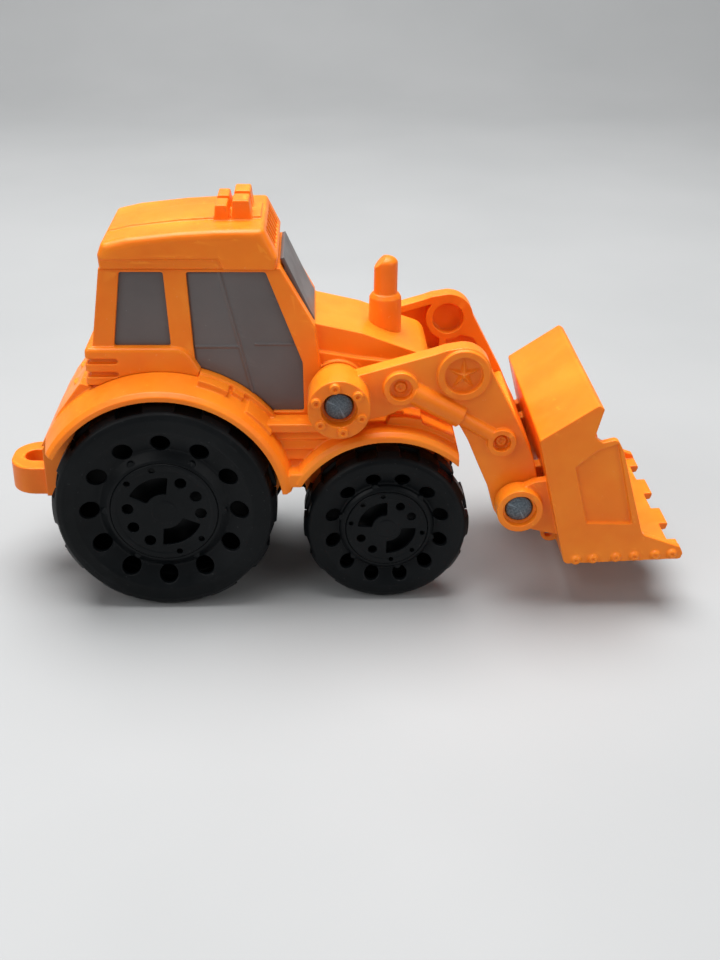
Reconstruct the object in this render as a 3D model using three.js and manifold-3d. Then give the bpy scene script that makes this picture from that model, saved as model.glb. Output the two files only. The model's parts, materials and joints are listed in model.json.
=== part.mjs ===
// Toy front loader with a tow hitch: a free-standing plastic vehicle, in millimetres, +Z up.
// +X points to the bucket, Y = 0 is the plane of symmetry, and z = 0 is the floor. Shapes are drawn
// from the rear axle, and the whole machine is shifted at the end so that the origin is under its middle.

import * as THREE from 'three';
import { mergeVertices } from 'three/addons/utils/BufferGeometryUtils.js';
import Module from 'manifold-3d';

const wasm = await Module();
wasm.setup();

// Driving dimensions
const HITCH_REAR_X = -37.8;
const LIP_X = 117.3;
const MIDDLE_X = (HITCH_REAR_X + LIP_X) / 2;
const WALL = 1.7;
const GAP = 0.3;
const CHASSIS_HALF = 10;
const CAB_HALF = 13.6;
const HOOD_HALF = 11;
const SHOULDER_HALF = 12.2;
const DECK_Z = 45.5;
const LOW_DECK_Z = 43.4;
const SILL_Z = 44.2;
const CAB_TOP_Z = 77.8;

const REAR = {
  x: 0, radius: 25, tread: 24, shoulder: 23, dish: 19.3, drum: 14.2, cap: 11.7,
  inner: 11.2, split: 17.5, outer: 23.8, dishDrop: 2.1, capOuter: 23.5,
  holeRing: 16.6, holeRadius: 2.1, holeTurn: 0, arch: 26.6, archHalf: 23.5, axleHalf: 22.1,
};
const FRONT = {
  x: 49.7, radius: 18.9, tread: 18, shoulder: 17.2, dish: 14.6, drum: 10.4, cap: 9.1,
  inner: 10.8, split: 16, outer: 21.2, dishDrop: 1.9, capOuter: 20.8,
  holeRing: 12.6, holeRadius: 1.65, holeTurn: 15, arch: 22.5, archHalf: 22.5, axleHalf: 19.4,
};
const AXLE_RADIUS = 1.5;
const LUGS = 12;
const LUG_DEGREES = 15;

const ARM_PIVOT = [38.6, 50.65];
const BUCKET_PIVOT = [79.1, 25.4];
const ELBOW = [65.5, 56.2];
const PIN_RADIUS = 3;
const PIN_CLEARANCE = 0.1;
const ARM_INNER = 15.3;
const ARM_OUTER = 19.6;
const HUB_RADIUS = 6.7;
const HUB_OUTER = 25.9;
const BUCKET_HALF = 24.7;

// Helpers: paths, solids and joins

const radians = THREE.MathUtils.degToRad;

// A closed path through corners [x, y] or [x, y, radius]; a corner with a radius becomes an arc.
function outline(corners, steps = 3) {
  const points = [];
  corners.forEach(([x, y, radius], i) => {
    const corner = new THREE.Vector2(x, y);
    if (!radius) {
      points.push(corner);
      return;
    }
    const before = new THREE.Vector2(...corners.at(i - 1)).sub(corner).normalize();
    const after = new THREE.Vector2(...corners[(i + 1) % corners.length]).sub(corner).normalize();
    const half = Math.acos(before.dot(after)) / 2;
    const middle = before.clone().add(after).normalize();
    const centre = corner.clone().addScaledVector(middle, radius / Math.sin(half));
    const from = corner.clone().addScaledVector(before, radius / Math.tan(half)).sub(centre);
    const turn = (Math.PI - 2 * half) * Math.sign(from.cross(middle.clone().negate()));
    for (let k = 0; k <= steps; k += 1) {
      const arm = from.clone().rotateAround(new THREE.Vector2(), (turn * k) / steps);
      points.push(centre.clone().add(arm));
    }
  });
  return points;
}

// Points on an arc about [x, y], from one angle to another in degrees.
function arc([x, y], radius, fromDegrees, toDegrees, steps) {
  return Array.from({ length: steps + 1 }, (_, k) => {
    const angle = radians(fromDegrees + ((toDegrees - fromDegrees) * k) / steps);
    return [x + radius * Math.cos(angle), y + radius * Math.sin(angle)];
  });
}

function isInsideOut(position, index) {
  let volume = 0;
  const [a, b, c] = [new THREE.Vector3(), new THREE.Vector3(), new THREE.Vector3()];
  for (let i = 0; i < index.length; i += 3) {
    a.fromBufferAttribute(position, index[i]);
    b.fromBufferAttribute(position, index[i + 1]);
    c.fromBufferAttribute(position, index[i + 2]);
    volume += a.dot(b.cross(c));
  }
  return volume < 0;
}

// A closed three.js geometry as a solid that can be joined and cut.
function solid(geometry) {
  geometry.deleteAttribute('normal');
  geometry.deleteAttribute('uv');
  const merged = mergeVertices(geometry, 1e-4);
  let triangles = [];
  for (let i = 0; i < merged.index.count; i += 3) {
    const [a, b, c] = [0, 1, 2].map((k) => merged.index.getX(i + k));
    if (a !== b && b !== c && c !== a) triangles.push(a, b, c);
  }
  if (isInsideOut(merged.attributes.position, triangles)) triangles = triangles.reverse();
  return new wasm.Manifold(new wasm.Mesh({
    numProp: 3,
    vertProperties: new Float32Array(merged.attributes.position.array),
    triVerts: new Uint32Array(triangles),
  }));
}

function join(...solids) {
  return solids.flat().reduce((whole, piece) => whole.add(piece));
}

function cut(whole, ...tools) {
  return tools.flat().reduce((left, tool) => left.subtract(tool), whole);
}

function extruded(path, depth) {
  return new THREE.ExtrudeGeometry(new THREE.Shape(path), { depth, bevelEnabled: false, curveSegments: 6 });
}

// An [x, z] outline, extruded from y0 to y1.
function slab(corners, y0, y1, steps) {
  const geometry = extruded(outline(corners, steps), y1 - y0);
  return solid(geometry.rotateX(Math.PI / 2).translate(0, y1, 0));
}

// The same outline on both sides, from inner to outer distance of the plane of symmetry.
function slabs(corners, inner, outer, steps) {
  return [slab(corners, inner, outer, steps), slab(corners, -outer, -inner, steps)];
}

// An [x, y] outline, extruded from z0 to z1.
function plan(corners, z0, z1, steps) {
  return solid(extruded(outline(corners, steps), z1 - z0).translate(0, 0, z0));
}

function block([x0, x1], [y0, y1], [z0, z1]) {
  const geometry = new THREE.BoxGeometry(x1 - x0, y1 - y0, z1 - z0);
  return solid(geometry.translate((x0 + x1) / 2, (y0 + y1) / 2, (z0 + z1) / 2));
}

// A box on each side of the plane of symmetry.
function blocks(xs, [inner, outer], zs) {
  return [block(xs, [inner, outer], zs), block(xs, [-outer, -inner], zs)];
}

// A cylinder across the machine, centred on [x, z].
function rod([x, z], radius, y0, y1, segments = 18) {
  const geometry = new THREE.CylinderGeometry(radius, radius, y1 - y0, segments);
  return solid(geometry.translate(x, (y0 + y1) / 2, z));
}

function rods(centre, radius, inner, outer, segments) {
  return [rod(centre, radius, inner, outer, segments), rod(centre, radius, -outer, -inner, segments)];
}

// An upright cylinder or cone.
function post([x, y], z0, z1, bottomRadius, topRadius = bottomRadius, segments = 16) {
  const geometry = new THREE.CylinderGeometry(topRadius, bottomRadius, z1 - z0, segments);
  return solid(geometry.rotateX(Math.PI / 2).translate(x, y, (z0 + z1) / 2));
}

// A closed [radius, y] profile turned about the Y axis, then moved to [x, z].
function turned(profile, [x, z], segments) {
  const points = [...profile, profile[0]].map(([radius, y]) => new THREE.Vector2(radius, y));
  const geometry = new THREE.LatheGeometry(points, segments).rotateY(Math.PI / segments);
  return solid(geometry.translate(x, 0, z));
}

function geometryOf(whole) {
  const mesh = whole.getMesh();
  const geometry = new THREE.BufferGeometry();
  geometry.setAttribute('position', new THREE.BufferAttribute(new Float32Array(mesh.vertProperties), 3));
  geometry.setIndex(new THREE.BufferAttribute(new Uint32Array(mesh.triVerts), 1));
  return geometry;
}

// The same piece for the other side of the machine.
function mirrored(geometry) {
  const other = geometry.clone().scale(1, -1, 1);
  other.index.array.reverse();
  return other;
}

const PLASTIC = { color: '#f08a26', roughness: 0.38, metalness: 0 };
const GLAZING = { color: '#565253', roughness: 0.3, metalness: 0 };
const BLACK = { color: '#0b1114', roughness: 0.5, metalness: 0 };
const STEEL = { color: '#7a868b', roughness: 0.55, metalness: 1 };
const SCREW = { color: '#9a9c9e', roughness: 0.35, metalness: 1 };

function piece(parent, name, geometry, finish) {
  const mesh = new THREE.Mesh(geometry, new THREE.MeshStandardMaterial(finish));
  mesh.name = name;
  parent.add(mesh);
}

function pair(parent, name, rightSolid, finish) {
  const geometry = geometryOf(rightSolid);
  piece(parent, `${name}_right`, geometry, finish);
  piece(parent, `${name}_left`, mirrored(geometry), finish);
}

// Fenders: drums about the axles, cut to the visible sector

const SECTOR_REACH = 60;

// The part of a fender between two angles about its axle, in the side view.
function sector(wheel, fromDegrees, toDegrees, half) {
  const centre = [wheel.x, wheel.radius];
  return slab([centre, ...arc(centre, SECTOR_REACH, fromDegrees, toDegrees, 4)], -half, half);
}

function fenderDrum(wheel, lip, crown, crownHalf, segments) {
  const edge = wheel.archHalf;
  const profile = [[0, -edge], [lip - 0.9, -edge], [lip, -edge + 1], [crown, -crownHalf],
    [crown, crownHalf], [lip, edge - 1], [lip - 0.9, edge], [0, edge]];
  return turned(profile, [wheel.x, wheel.radius], segments);
}

const REAR_CROWN = 30;
const FLANGE = 31.3;
const FRONT_CROWN = 24.9;
const HOOD_FRONT_X = 60;
const NOSE_X = 64.6;

const rearAxle = [REAR.x, REAR.radius];
const frontAxle = [FRONT.x, FRONT.radius];

// Lower body: fenders, waist with louvres, decks and tow hitch, hollow and open below

const LOUVRE_HALF = 18.3;
const BELLY_REAR_Z = 22;
const BELLY_MIDDLE_Z = 25.6;
const BELLY_FRONT_Z = 16.1;
const TAIL_X = -28.5;
const STEP_REAR_X = 24;
const STEP_FRONT_X = 33;

// The line of the belly, from tail to nose, raised by some height.
function bellyLine(lift, tail, nose) {
  return [[tail, BELLY_REAR_Z + lift], [STEP_REAR_X, BELLY_REAR_Z + lift],
    [STEP_REAR_X + 2, BELLY_MIDDLE_Z + lift], [STEP_FRONT_X - 2, BELLY_MIDDLE_Z + lift],
    [STEP_FRONT_X, BELLY_FRONT_Z + lift], [nose, BELLY_FRONT_Z + lift]];
}

function towHitch() {
  const half = 7.4;
  const thickness = [21.2, 27.8];
  const loop = plan([[TAIL_X + 2, -half], [TAIL_X + 2, half], [HITCH_REAR_X, half, 6.2],
    [HITCH_REAR_X, -half, 6.2]], ...thickness, 5);
  const eye = plan([[TAIL_X - 1, -2.9], [TAIL_X - 1, 2.9], [HITCH_REAR_X + 2.9, 2.9, 2.6],
    [HITCH_REAR_X + 2.9, -2.9, 2.6]], thickness[0] - 1, thickness[1] + 1);
  return cut(loop, eye);
}

// Overlapping planks between the fenders, each leaning out at its foot.
function louvres() {
  const planks = 5;
  const pitch = 2.4;
  return Array.from({ length: planks }, (_, k) => {
    const foot = 30.4 + pitch * k;
    return blocks([20, 40], [LOUVRE_HALF - 1, LOUVRE_HALF - 0.12 * k], [foot, foot + pitch - 0.35]);
  }).flat();
}

function fenderSteps() {
  const step = (inner, outer, height, from, to) => {
    const ring = turned([[20, -outer], [height, -outer], [height, -inner], [20, -inner]], rearAxle, 40);
    const other = turned([[20, inner], [height, inner], [height, outer], [20, outer]], rearAxle, 40);
    return join(ring, other).intersect(sector(REAR, from, to, outer + 1));
  };
  return [step(CAB_HALF - 1, 15.2, FLANGE, 36, 74), step(CAB_HALF - 1, 18.6, 30.5, 61, 74),
    step(CAB_HALF - 1, 17, 30.4, 54, 59)];
}

function lowerBody() {
  const core = slab([...bellyLine(0, TAIL_X, NOSE_X), [NOSE_X, DECK_Z - 1.5],
    [NOSE_X - 1.5, DECK_Z], [35.5, DECK_Z], [35.5, SILL_Z], [18, SILL_Z], [0, 50], [-17.6, 51.8],
    [-23.4, 44], [TAIL_X, 34]], -CHASSIS_HALF, CHASSIS_HALF);
  const tail = slab([[-17.8, 51.8], [-23.4, 44.4], [-27.9, 36.4], [-20, 38], [-12, 50]],
    -CAB_HALF, CAB_HALF);
  const rearFender = fenderDrum(REAR, 28.6, REAR_CROWN, 13.8, 40)
    .intersect(sector(REAR, 9, 151, REAR.archHalf + 1));
  const frontFender = fenderDrum(FRONT, 24.7, FRONT_CROWN, 13.2, 36)
    .intersect(sector(FRONT, 47, 149, FRONT.archHalf + 1))
    .subtract(block([NOSE_X + 0.6, 80], [-30, 30], [20, 60]));
  const waistHalf = LOUVRE_HALF - 0.9;
  const waist = slab([[24, 30], [34, 30], [44, LOW_DECK_Z], [18, SILL_Z]], -waistHalf, waistHalf);
  const keel = slab([[26.6, 30.4], [32.2, 30.4], [31, 33.6], [28, 33.6]], -22.3, 22.3);
  const sill = slab([[17, SILL_Z - 2], [36, SILL_Z - 2], [34, SILL_Z], [19, SILL_Z]], -18.9, 18.9);
  const deck = slab([[38, 36], [NOSE_X + 0.4, 34], [NOSE_X - 0.2, 40.6], [57.2, 43.8], [57, 44.9],
    [53, DECK_Z], [50, DECK_Z], [49, LOW_DECK_Z], [38, LOW_DECK_Z]], -18, 18);
  const plinth = slab([[38, 36], [NOSE_X, 34], [NOSE_X, DECK_Z - 1.5], [NOSE_X - 1.5, DECK_Z],
    [50, DECK_Z], [49, LOW_DECK_Z], [38, LOW_DECK_Z]], -12.4, 12.4);
  const treads = blocks([49.8, 53], [12, 16.6], [40, DECK_Z + 0.5]);
  const body = join(core, tail, rearFender, frontFender, waist, louvres(), keel, sill, deck, plinth, treads,
    fenderSteps(), towHitch());

  const wells = [rods(rearAxle, REAR.arch, CHASSIS_HALF, 30, 40),
    rods(frontAxle, FRONT.arch, CHASSIS_HALF, 30, 36)].flat();
  const roomHalf = CHASSIS_HALF - WALL;
  const room = slab([...bellyLine(-8, TAIL_X + WALL, NOSE_X - WALL), [NOSE_X - WALL, DECK_Z - WALL],
    [37.5, DECK_Z - WALL], [37.5, SILL_Z - WALL], [18, SILL_Z - WALL], [0, 48], [-17, 49],
    [-21.6, 43], [TAIL_X + WALL, 33.6]], -roomHalf, roomHalf);
  const crownDrum = [[0, -roomHalf], [28.2, -roomHalf], [28.2, roomHalf], [0, roomHalf]];
  const crownRoom = turned(crownDrum, rearAxle, 40)
    .intersect(block([-24, 22], [-20, 20], [40, 60]));
  const slots = [rearAxle, frontAxle].flatMap(([x, z]) => {
    const half = AXLE_RADIUS + PIN_CLEARANCE;
    return [block([x - half, x + half], [-11, 11], [z - 12, z]), rod([x, z], half, -11, 11)];
  });
  const hubSeats = rods(ARM_PIVOT, HUB_RADIUS + 0.5, CHASSIS_HALF + 2.5, 30);
  const shell = cut(body, wells, room, crownRoom, slots, hubSeats);
  const pillars = screwPlaces()
    .map(([x, y, z]) => post([x, y], z, x < 0 ? 49.6 : DECK_Z - 1, 2.8, 2.8, 12));
  const pilots = screwPlaces().map(([x, y, z]) => post([x, y], z - 1, z + 9, 1.5, 1.5, 12));
  return cut(join(shell, pillars), pilots);
}

// Base plate and its four screws

function screwPlaces() {
  return [[-18, -5, BELLY_REAR_Z], [-18, 5, BELLY_REAR_Z], [60, -5, BELLY_FRONT_Z], [60, 5, BELLY_FRONT_Z]];
}

const PLATE = 1.5;
const SCREW_SEAT = -GAP - 0.6;

function basePlate() {
  const tail = TAIL_X + 2.5;
  const top = bellyLine(-GAP, tail, NOSE_X - 0.5);
  const bottom = bellyLine(-GAP - PLATE, tail, NOSE_X - 0.5).reverse();
  const plate = slab([...top, ...bottom], -CHASSIS_HALF + 0.3, CHASSIS_HALF - 0.3);
  const saddles = [[rearAxle, BELLY_REAR_Z], [frontAxle, BELLY_FRONT_Z]].map(([[x, z], floor]) => {
    const rest = block([x - 4, x + 4], [-7.6, 7.6], [floor - 1, z - 0.1]);
    return cut(rest, rod([x, z], AXLE_RADIUS + PIN_CLEARANCE, -9, 9));
  });
  const holes = screwPlaces().map(([x, y, z]) => post([x, y], z - 4, z + 1, 1.5, 1.5, 12));
  const sinks = screwPlaces().map(([x, y, z]) => post([x, y], z - 4, z + SCREW_SEAT, 2.6, 2.6, 16));
  return cut(join(plate, saddles), [...holes, ...sinks]);
}

// A screw whose head lies in the plate's sink, with a cross in it.
function baseScrew() {
  const head = post([0, 0], SCREW_SEAT - 0.8, SCREW_SEAT - 0.05, 2.1, 2.3, 16);
  const shank = post([0, 0], SCREW_SEAT - 0.5, 7.5, 1.2, 0.9, 10);
  const driver = [
    block([-1.3, 1.3], [-0.3, 0.3], [-5, SCREW_SEAT - 0.4]),
    block([-0.3, 0.3], [-1.3, 1.3], [-5, SCREW_SEAT - 0.4]),
  ];
  return cut(join(head, shank), driver);
}

// Upper body: cab frame, belt round the cab and hood, one moulding open below

const WINDSCREEN_TOP = [26.3, CAB_TOP_Z];
const WINDSCREEN_FOOT = [33.6, 64.8];
const REAR_GLASS_TOP = [-11.7, CAB_TOP_Z];
const REAR_GLASS_FOOT = [-14.4, 60];

// A four-cornered slab that follows a sloping wall from one end to the other, between two offsets.
function along(top, foot, fromShare, toShare, inward, outward, half) {
  const run = new THREE.Vector2(foot[0] - top[0], foot[1] - top[1]);
  const normal = new THREE.Vector2(-run.y, run.x).normalize();
  const at = (share, offset) => [top[0] + run.x * share + normal.x * offset,
    top[1] + run.y * share + normal.y * offset];
  return slab([at(fromShare, inward), at(toShare, inward), at(toShare, outward), at(fromShare, outward)],
    -half, half);
}

// Side window openings, grown or shrunk by the margin.
function rearWindow(margin) {
  return [[-7.5 - margin, 77 + margin], [1.7 + margin, 77 + margin], [2.5 + margin, 60.4 - margin],
    [-9.7 - margin, 60.4 - margin]];
}

function doorWindow(margin) {
  return [[6.5 - margin, 77 + margin], [23.2 + margin, 77 + margin], [30.9 + margin, 56.5],
    [31.1 + margin, 45 - margin], [20 - margin, 45 - margin], [7.8 - margin, 54 - margin],
    [7.3 - margin, 60.4]];
}

function cabSide(inset) {
  return [[-15.4 + inset, 44], [REAR_GLASS_FOOT[0] + inset, 60],
    [REAR_GLASS_TOP[0] + inset, CAB_TOP_Z - inset], [WINDSCREEN_TOP[0] - inset * 0.8, CAB_TOP_Z - inset],
    [WINDSCREEN_FOOT[0] - inset, 64.8 - inset * 0.4], [34.8 - inset, 55], [34.8 - inset, 44]];
}

// Hood in the side view: sloping top, lowered by an inset.
function hoodSide(inset) {
  return [[30, 44], [30, 65.2 - inset], [33.3, 64.8 - inset], [44, 62.4 - inset], [53.5, 58.9 - inset],
    [58.6 - inset, 57 - inset, 1.4], [HOOD_FRONT_X - inset, 51], [HOOD_FRONT_X - inset, 44]];
}

function shoulderSide() {
  return [[32, 44], [32, 59], [43.6, 57], [53, 55.9], [57.6, 55], [58.6, 50], [58.6, 44]];
}

function upperBody() {
  const belt = slab([[-16.4, 44], [-16, 60.2, 0.8], [4.6, 60.2, 3.5], [8.9, 53.6], [8.9, 44]], -14.9, 14.9);
  const grooves = [53.9, 56.9].flatMap((z) => [blocks([-18, -9.2], [14.2, 16], [z, z + 1.1]),
    block([-18, -15.5], [-16, 16], [z, z + 1.1])]).flat();
  const hub = rods(ARM_PIVOT, 6.1, 8, 12.9);
  const outside = join(slab(cabSide(0), -CAB_HALF, CAB_HALF), cut(belt, grooves),
    slab(hoodSide(0), -HOOD_HALF, HOOD_HALF), slab(shoulderSide(), -SHOULDER_HALF, SHOULDER_HALF), hub);
  const room = join(slab(cabSide(WALL), -CAB_HALF + WALL, CAB_HALF - WALL),
    slab(hoodSide(WALL), -HOOD_HALF + WALL, HOOD_HALF - WALL));
  const drumRadius = REAR_CROWN + GAP;
  const rearDrum = turned([[0, -26], [drumRadius, -26], [drumRadius, 26], [0, 26]], rearAxle, 40);
  const below = [block([-40, 12], [-30, 30], [30, 52.3]), block([10, 35.2], [-30, 30], [30, SILL_Z + GAP]),
    block([35, 80], [-30, 30], [30, DECK_Z + GAP + 0.6])];
  const stepRoom = FLANGE + GAP;
  const rearStep = turned([[0, -16], [stepRoom, -16], [stepRoom, 16], [0, 16]], rearAxle, 40)
    .intersect(sector(REAR, 30, 75, 17));
  const openings = [slabs(rearWindow(0), 8.5, 20), slabs(doorWindow(0), 8.5, 20),
    along(WINDSCREEN_TOP, WINDSCREEN_FOOT, 0.08, 0.97, -6, 6, 9.8),
    along(REAR_GLASS_TOP, REAR_GLASS_FOOT, 0.12, 0.92, -6, 6, 9)].flat();
  const holes = [rod(ARM_PIVOT, PIN_RADIUS + PIN_CLEARANCE, -20, 20), post(STACK, 50, 70, 2.3, 2.3, 16)];
  return cut(outside, room, rearDrum, below, rearStep, openings, holes);
}

// Window insert: one grey moulding inside the cab, with raised panes that fill the openings

function windowInsert() {
  const skin = WALL + GAP;
  const half = CAB_HALF - skin;
  const outer = slab(cabSide(skin), -half, half);
  const panes = [slabs(rearWindow(-GAP), 9, CAB_HALF - 0.8), slabs(doorWindow(-GAP), 9, CAB_HALF - 0.8),
    along(WINDSCREEN_TOP, WINDSCREEN_FOOT, 0.105, 0.945, -3.4, 0.7, 9.4),
    along(REAR_GLASS_TOP, REAR_GLASS_FOOT, 0.14, 0.9, 3.4, 0.6, 8.7)].flat();
  const room = slab(cabSide(skin + 1.5), -half + 1.5, half - 1.5);
  const drum = turned([[0, -26], [FLANGE + GAP, -26], [FLANGE + GAP, 26], [0, 26]], rearAxle, 40);
  const below = block([-40, 60], [-30, 30], [30, SILL_Z + 1]);
  return cut(join(outer, panes), room, drum, below);
}

// Roof with its raised strip and four lamps

function lamp(x0, x1, y0, y1, foot, top, taper) {
  const slope = taper * 1.6;
  const narrow = [[x0 + taper, foot], [x0 + slope, top, 0.3], [x1 - slope, top, 0.3], [x1, foot]];
  return slabs([[x0, foot - 3], ...narrow, [x1, foot - 3]], y0, y1, 1);
}

// Roof in the side view, pulled in by an inset at its top and ends.
function roofSide(inset) {
  return [[-11.8 + inset * 0.6, 78.1], [-11.9 + inset * 0.6, 80.7], [-11 + inset, 83.2 - inset, 1],
    [-5.5 + inset, 84.6 - inset], [5, 86 - inset], [13, 86.4 - inset], [22.8 - inset, 86.3 - inset, 1.2],
    [25.9 - inset * 0.6, 80.2], [25.6 - inset * 0.6, 78.1]];
}

function roof() {
  const top = [[0, 12.9], [0.5, 14], [1.6, 14.9]].map(([inset, half]) => (
    slab(roofSide(inset), -half, half)));
  const strip = slab([[-10.6, 80], [-10.4, 83.7], [-5.3, 84.9], [5, 86.4], [13, 86.8], [22.2, 86.7],
    [23, 80]], -5.8, 5.8);
  const lamps = [lamp(12.2, 15.7, 2.2, 7, 86, 89.1, 0.4), lamp(15.6, 20.1, 2.2, 7, 86, 90.4, 0.4)].flat();
  const room = slab([[-10, 70], [-9.8, 81.6], [-4.9, 83], [5, 84.3], [13, 84.7], [21.4, 84.6], [24, 79.5],
    [24, 70]], -13, 13);
  return cut(join(top, strip, lamps), room);
}

// Exhaust stack, pressed into the hood

const STACK = [49.4, 0];

function exhaustStack() {
  const sleeve = join(post(STACK, 54, 67.2, 3.6, 3.4), post(STACK, 67.2, 68, 3.4, 2.9));
  const pipe = join(post(STACK, 60, 73.6, 2.5, 2.45), post(STACK, 73.6, 76.4, 2.45, 1.1));
  const slant = slab([[40, 71.5], [49.6, 76.6], [49.6, 80], [40, 80]], -5, 5);
  const seat = slab(hoodSide(-GAP), -20, 20);
  const peg = post(STACK, 56.5, 62, 2, 2, 16);
  return join(cut(join(sleeve, pipe), slant, seat), peg);
}

// Loader arm: plate with a hollow back, hub, elbow ring with star, and a moulded dummy cylinder

// Edge of the arm, over the top from the hub to the bucket pivot and back below.
function armEdge() {
  const [px, pz] = ARM_PIVOT;
  return [[px, pz + 6], [41.4, 55.6], [59.4, 60.9], [61.6, 61.7, 2], ...arc(ELBOW, 6.1, 95, 8, 5),
    [79.2, 42.7], [82.1, 36.2], ...arc(BUCKET_PIVOT, 5.6, 18, -170, 9), [72.2, 29.2], [69.6, 35],
    [67.2, 40.6], [65.1, 44.3], [61.6, 46.4], [54.6, 49.1], [49, 46.5], [41, 44.4], [px, pz - 6]];
}

function armPocket() {
  return [[47.2, 55], [47.2, 48.8], [55, 51.8], [58.5, 52], [59.4, 54.8], [59.6, 58.7]];
}

function legPocket() {
  return [[65.4, 47.6], [69.4, 40.6], [73.2, 32.2], [80, 33], [77.3, 41.5], [72.6, 50, 1]];
}

function star(centre, outerRadius, innerRadius) {
  return Array.from({ length: 10 }, (_, k) => {
    const angle = radians(90 + 36 * k);
    const reach = k % 2 ? innerRadius : outerRadius;
    return [centre[0] + reach * Math.cos(angle), centre[1] + reach * Math.sin(angle)];
  });
}

// A rod lying on the arm's face, between two points of the side view.
function lyingRod([x0, z0], [x1, z1], radius, y) {
  const length = Math.hypot(x1 - x0, z1 - z0);
  const geometry = new THREE.CylinderGeometry(radius, radius, length, 12).rotateZ(-Math.PI / 2);
  geometry.rotateY(-Math.atan2(z1 - z0, x1 - x0));
  return solid(geometry.translate((x0 + x1) / 2, y, (z0 + z1) / 2));
}

function armRight() {
  const ram = [[52, 53.3], [74.6, 40.4]];
  const face = -ARM_OUTER;
  const floor = face + 1.8;
  const plate = slab(armEdge(), -ARM_OUTER, -ARM_INNER);
  const hub = join(rod(ARM_PIVOT, HUB_RADIUS, -HUB_OUTER, -17), rod(ARM_PIVOT, 6, -18, -CAB_HALF - GAP));
  const rings = join(rod(ELBOW, 5.6, face - 0.7, face + 1), rod(ram[0], 3.8, face - 1.2, face + 1, 16),
    rod(ram[1], 3.2, face - 1.2, face + 1, 16));
  const ringHoles = [rod(ELBOW, 4.4, face - 2, face + 0.1), rod(ram[0], 2.5, face - 3, face - 0.4, 12),
    rod(ram[1], 2, face - 3, face - 0.4, 12)];
  const barrel = lyingRod([54.6, 52.2], [65.4, 46.2], 2.6, face + 0.5);
  const piston = lyingRod([64, 47], [73, 41.6], 1.7, face + 0.2);
  const bolts = Array.from({ length: 6 }, (_, k) => {
    const angle = radians(-20 + 60 * k);
    return rod([ARM_PIVOT[0] + 5.2 * Math.cos(angle), ARM_PIVOT[1] + 5.2 * Math.sin(angle)], 0.95,
      -HUB_OUTER - 0.5, -HUB_OUTER + 1, 6);
  });
  const inboard = block([30, 90], [-ARM_INNER, 0], [20, 70]);
  const body = cut(join(plate, rings, barrel, piston), ringHoles, inboard);
  const pockets = [slab(armPocket(), floor, 0), slab(legPocket(), floor, 0), rod(ELBOW, 3.8, floor, 0)];
  const emblem = slab(star(ELBOW, 3.3, 1.4), face - 0.4, face + 0.5);
  const bores = [rod(ARM_PIVOT, PIN_RADIUS + PIN_CLEARANCE, -30, 0), rod(ARM_PIVOT, 3.7, -30, -23.2),
    rod(BUCKET_PIVOT, PIN_RADIUS + PIN_CLEARANCE, -30, 0), sockets(-1)];
  return cut(join(cut(body, pockets), emblem, hub, bolts), ...bores);
}

// Cross brace between the arms, a plate behind the bucket with a peg into each arm

const PEG = [78, 39];

function sockets(side) {
  return rod(PEG, 1.5, side > 0 ? 15 : -17, side > 0 ? 17 : -15, 12);
}

function crossBrace() {
  const plate = slab([[78.9, 43, 0.6], [82.2, 36.6], [83, 33.8, 0.6], [81, 33], [80, 36],
    [76.4, 42.2]], -ARM_INNER + GAP, ARM_INNER - GAP);
  const bar = rod(PEG, 2.4, -ARM_INNER + GAP, ARM_INNER - GAP, 16);
  const pegs = rod(PEG, 1.2, -16.7, 16.7, 12);
  const apron = slab([[82.3, 36.2], [85.1, 27.4, 0.6], [83.3, 26.8], [80.8, 34]], -11.2, 11.2);
  return join(plate, bar, pegs, apron);
}

// Bucket: open scoop with side plates, toothed lip and two pairs of ears

function bucketSide() {
  return [[82.2, 42.8, 0.5], [90.2, 11.6, 1.2], [116.9, 12.8], [117.3, 14.2], [116.5, 15.9, 0.5],
    [107.4, 19.2, 2], [100.9, 40.2], [99.4, 43.7, 1.5], [95.4, 43, 1], [95.7, 50.3], [94.4, 51.2, 0.5]];
}

function bucketRoom() {
  return [[84.27, 41.95], [125, 66.1], [125, 15.3], [91.8, 12.9, 1.5]];
}

function bucketBack(z) {
  return 82.2 + (42.8 - z) * 0.2564;
}

function earSide() {
  return [[bucketBack(32) + 0.6, 32], [82.5, 31.6], ...arc(BUCKET_PIVOT, 5.1, 80, 280, 6), [83, 19.4],
    [bucketBack(18) + 0.6, 18]];
}

function bucket() {
  const shell = cut(slab(bucketSide(), -BUCKET_HALF, BUCKET_HALF), slab(bucketRoom(), -22.9, 22.9));
  const gaps = [...blocks([115.1, 120], [11.3, 18.7], [8, 20]), block([115.1, 120], [-3.8, 3.8], [8, 20])];
  const panel = [[90.6, 36.2], [95.2, 40.4], [99.6, 42], [104.8, 22], [94.4, 22.2]];
  const recesses = slabs(panel, BUCKET_HALF - 0.8, 26);
  const studs = [92.8, 96.7, 101.9, 106.1, 110.9, 114.7].flatMap((x) => {
    const z = 12.7 + (x - 92.8) * 0.07;
    return rods([x, z], 1, BUCKET_HALF - 0.6, BUCKET_HALF + 0.5, 6);
  });
  const ears = [slabs(earSide(), ARM_OUTER + 0.4, 23), slabs(earSide(), 11.6, 15)].flat();
  const rings = rods(BUCKET_PIVOT, 5.3, ARM_OUTER + 0.4, 24.3);
  const lugs = rods([88.4, 14.6], 2.3, 13.6, 15.4, 12);
  const bores = [rods(BUCKET_PIVOT, PIN_RADIUS + PIN_CLEARANCE, 13.2, 26),
    rods(BUCKET_PIVOT, 3.7, 23.6, 26), rods([88, 14.4], 0.9, 13, 16, 8)].flat();
  return cut(join(cut(shell, gaps, recesses), studs, ears, rings, lugs), bores);
}

// Wheels: two hollow halves that meet under the tread, and a hub cap with openings

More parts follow.
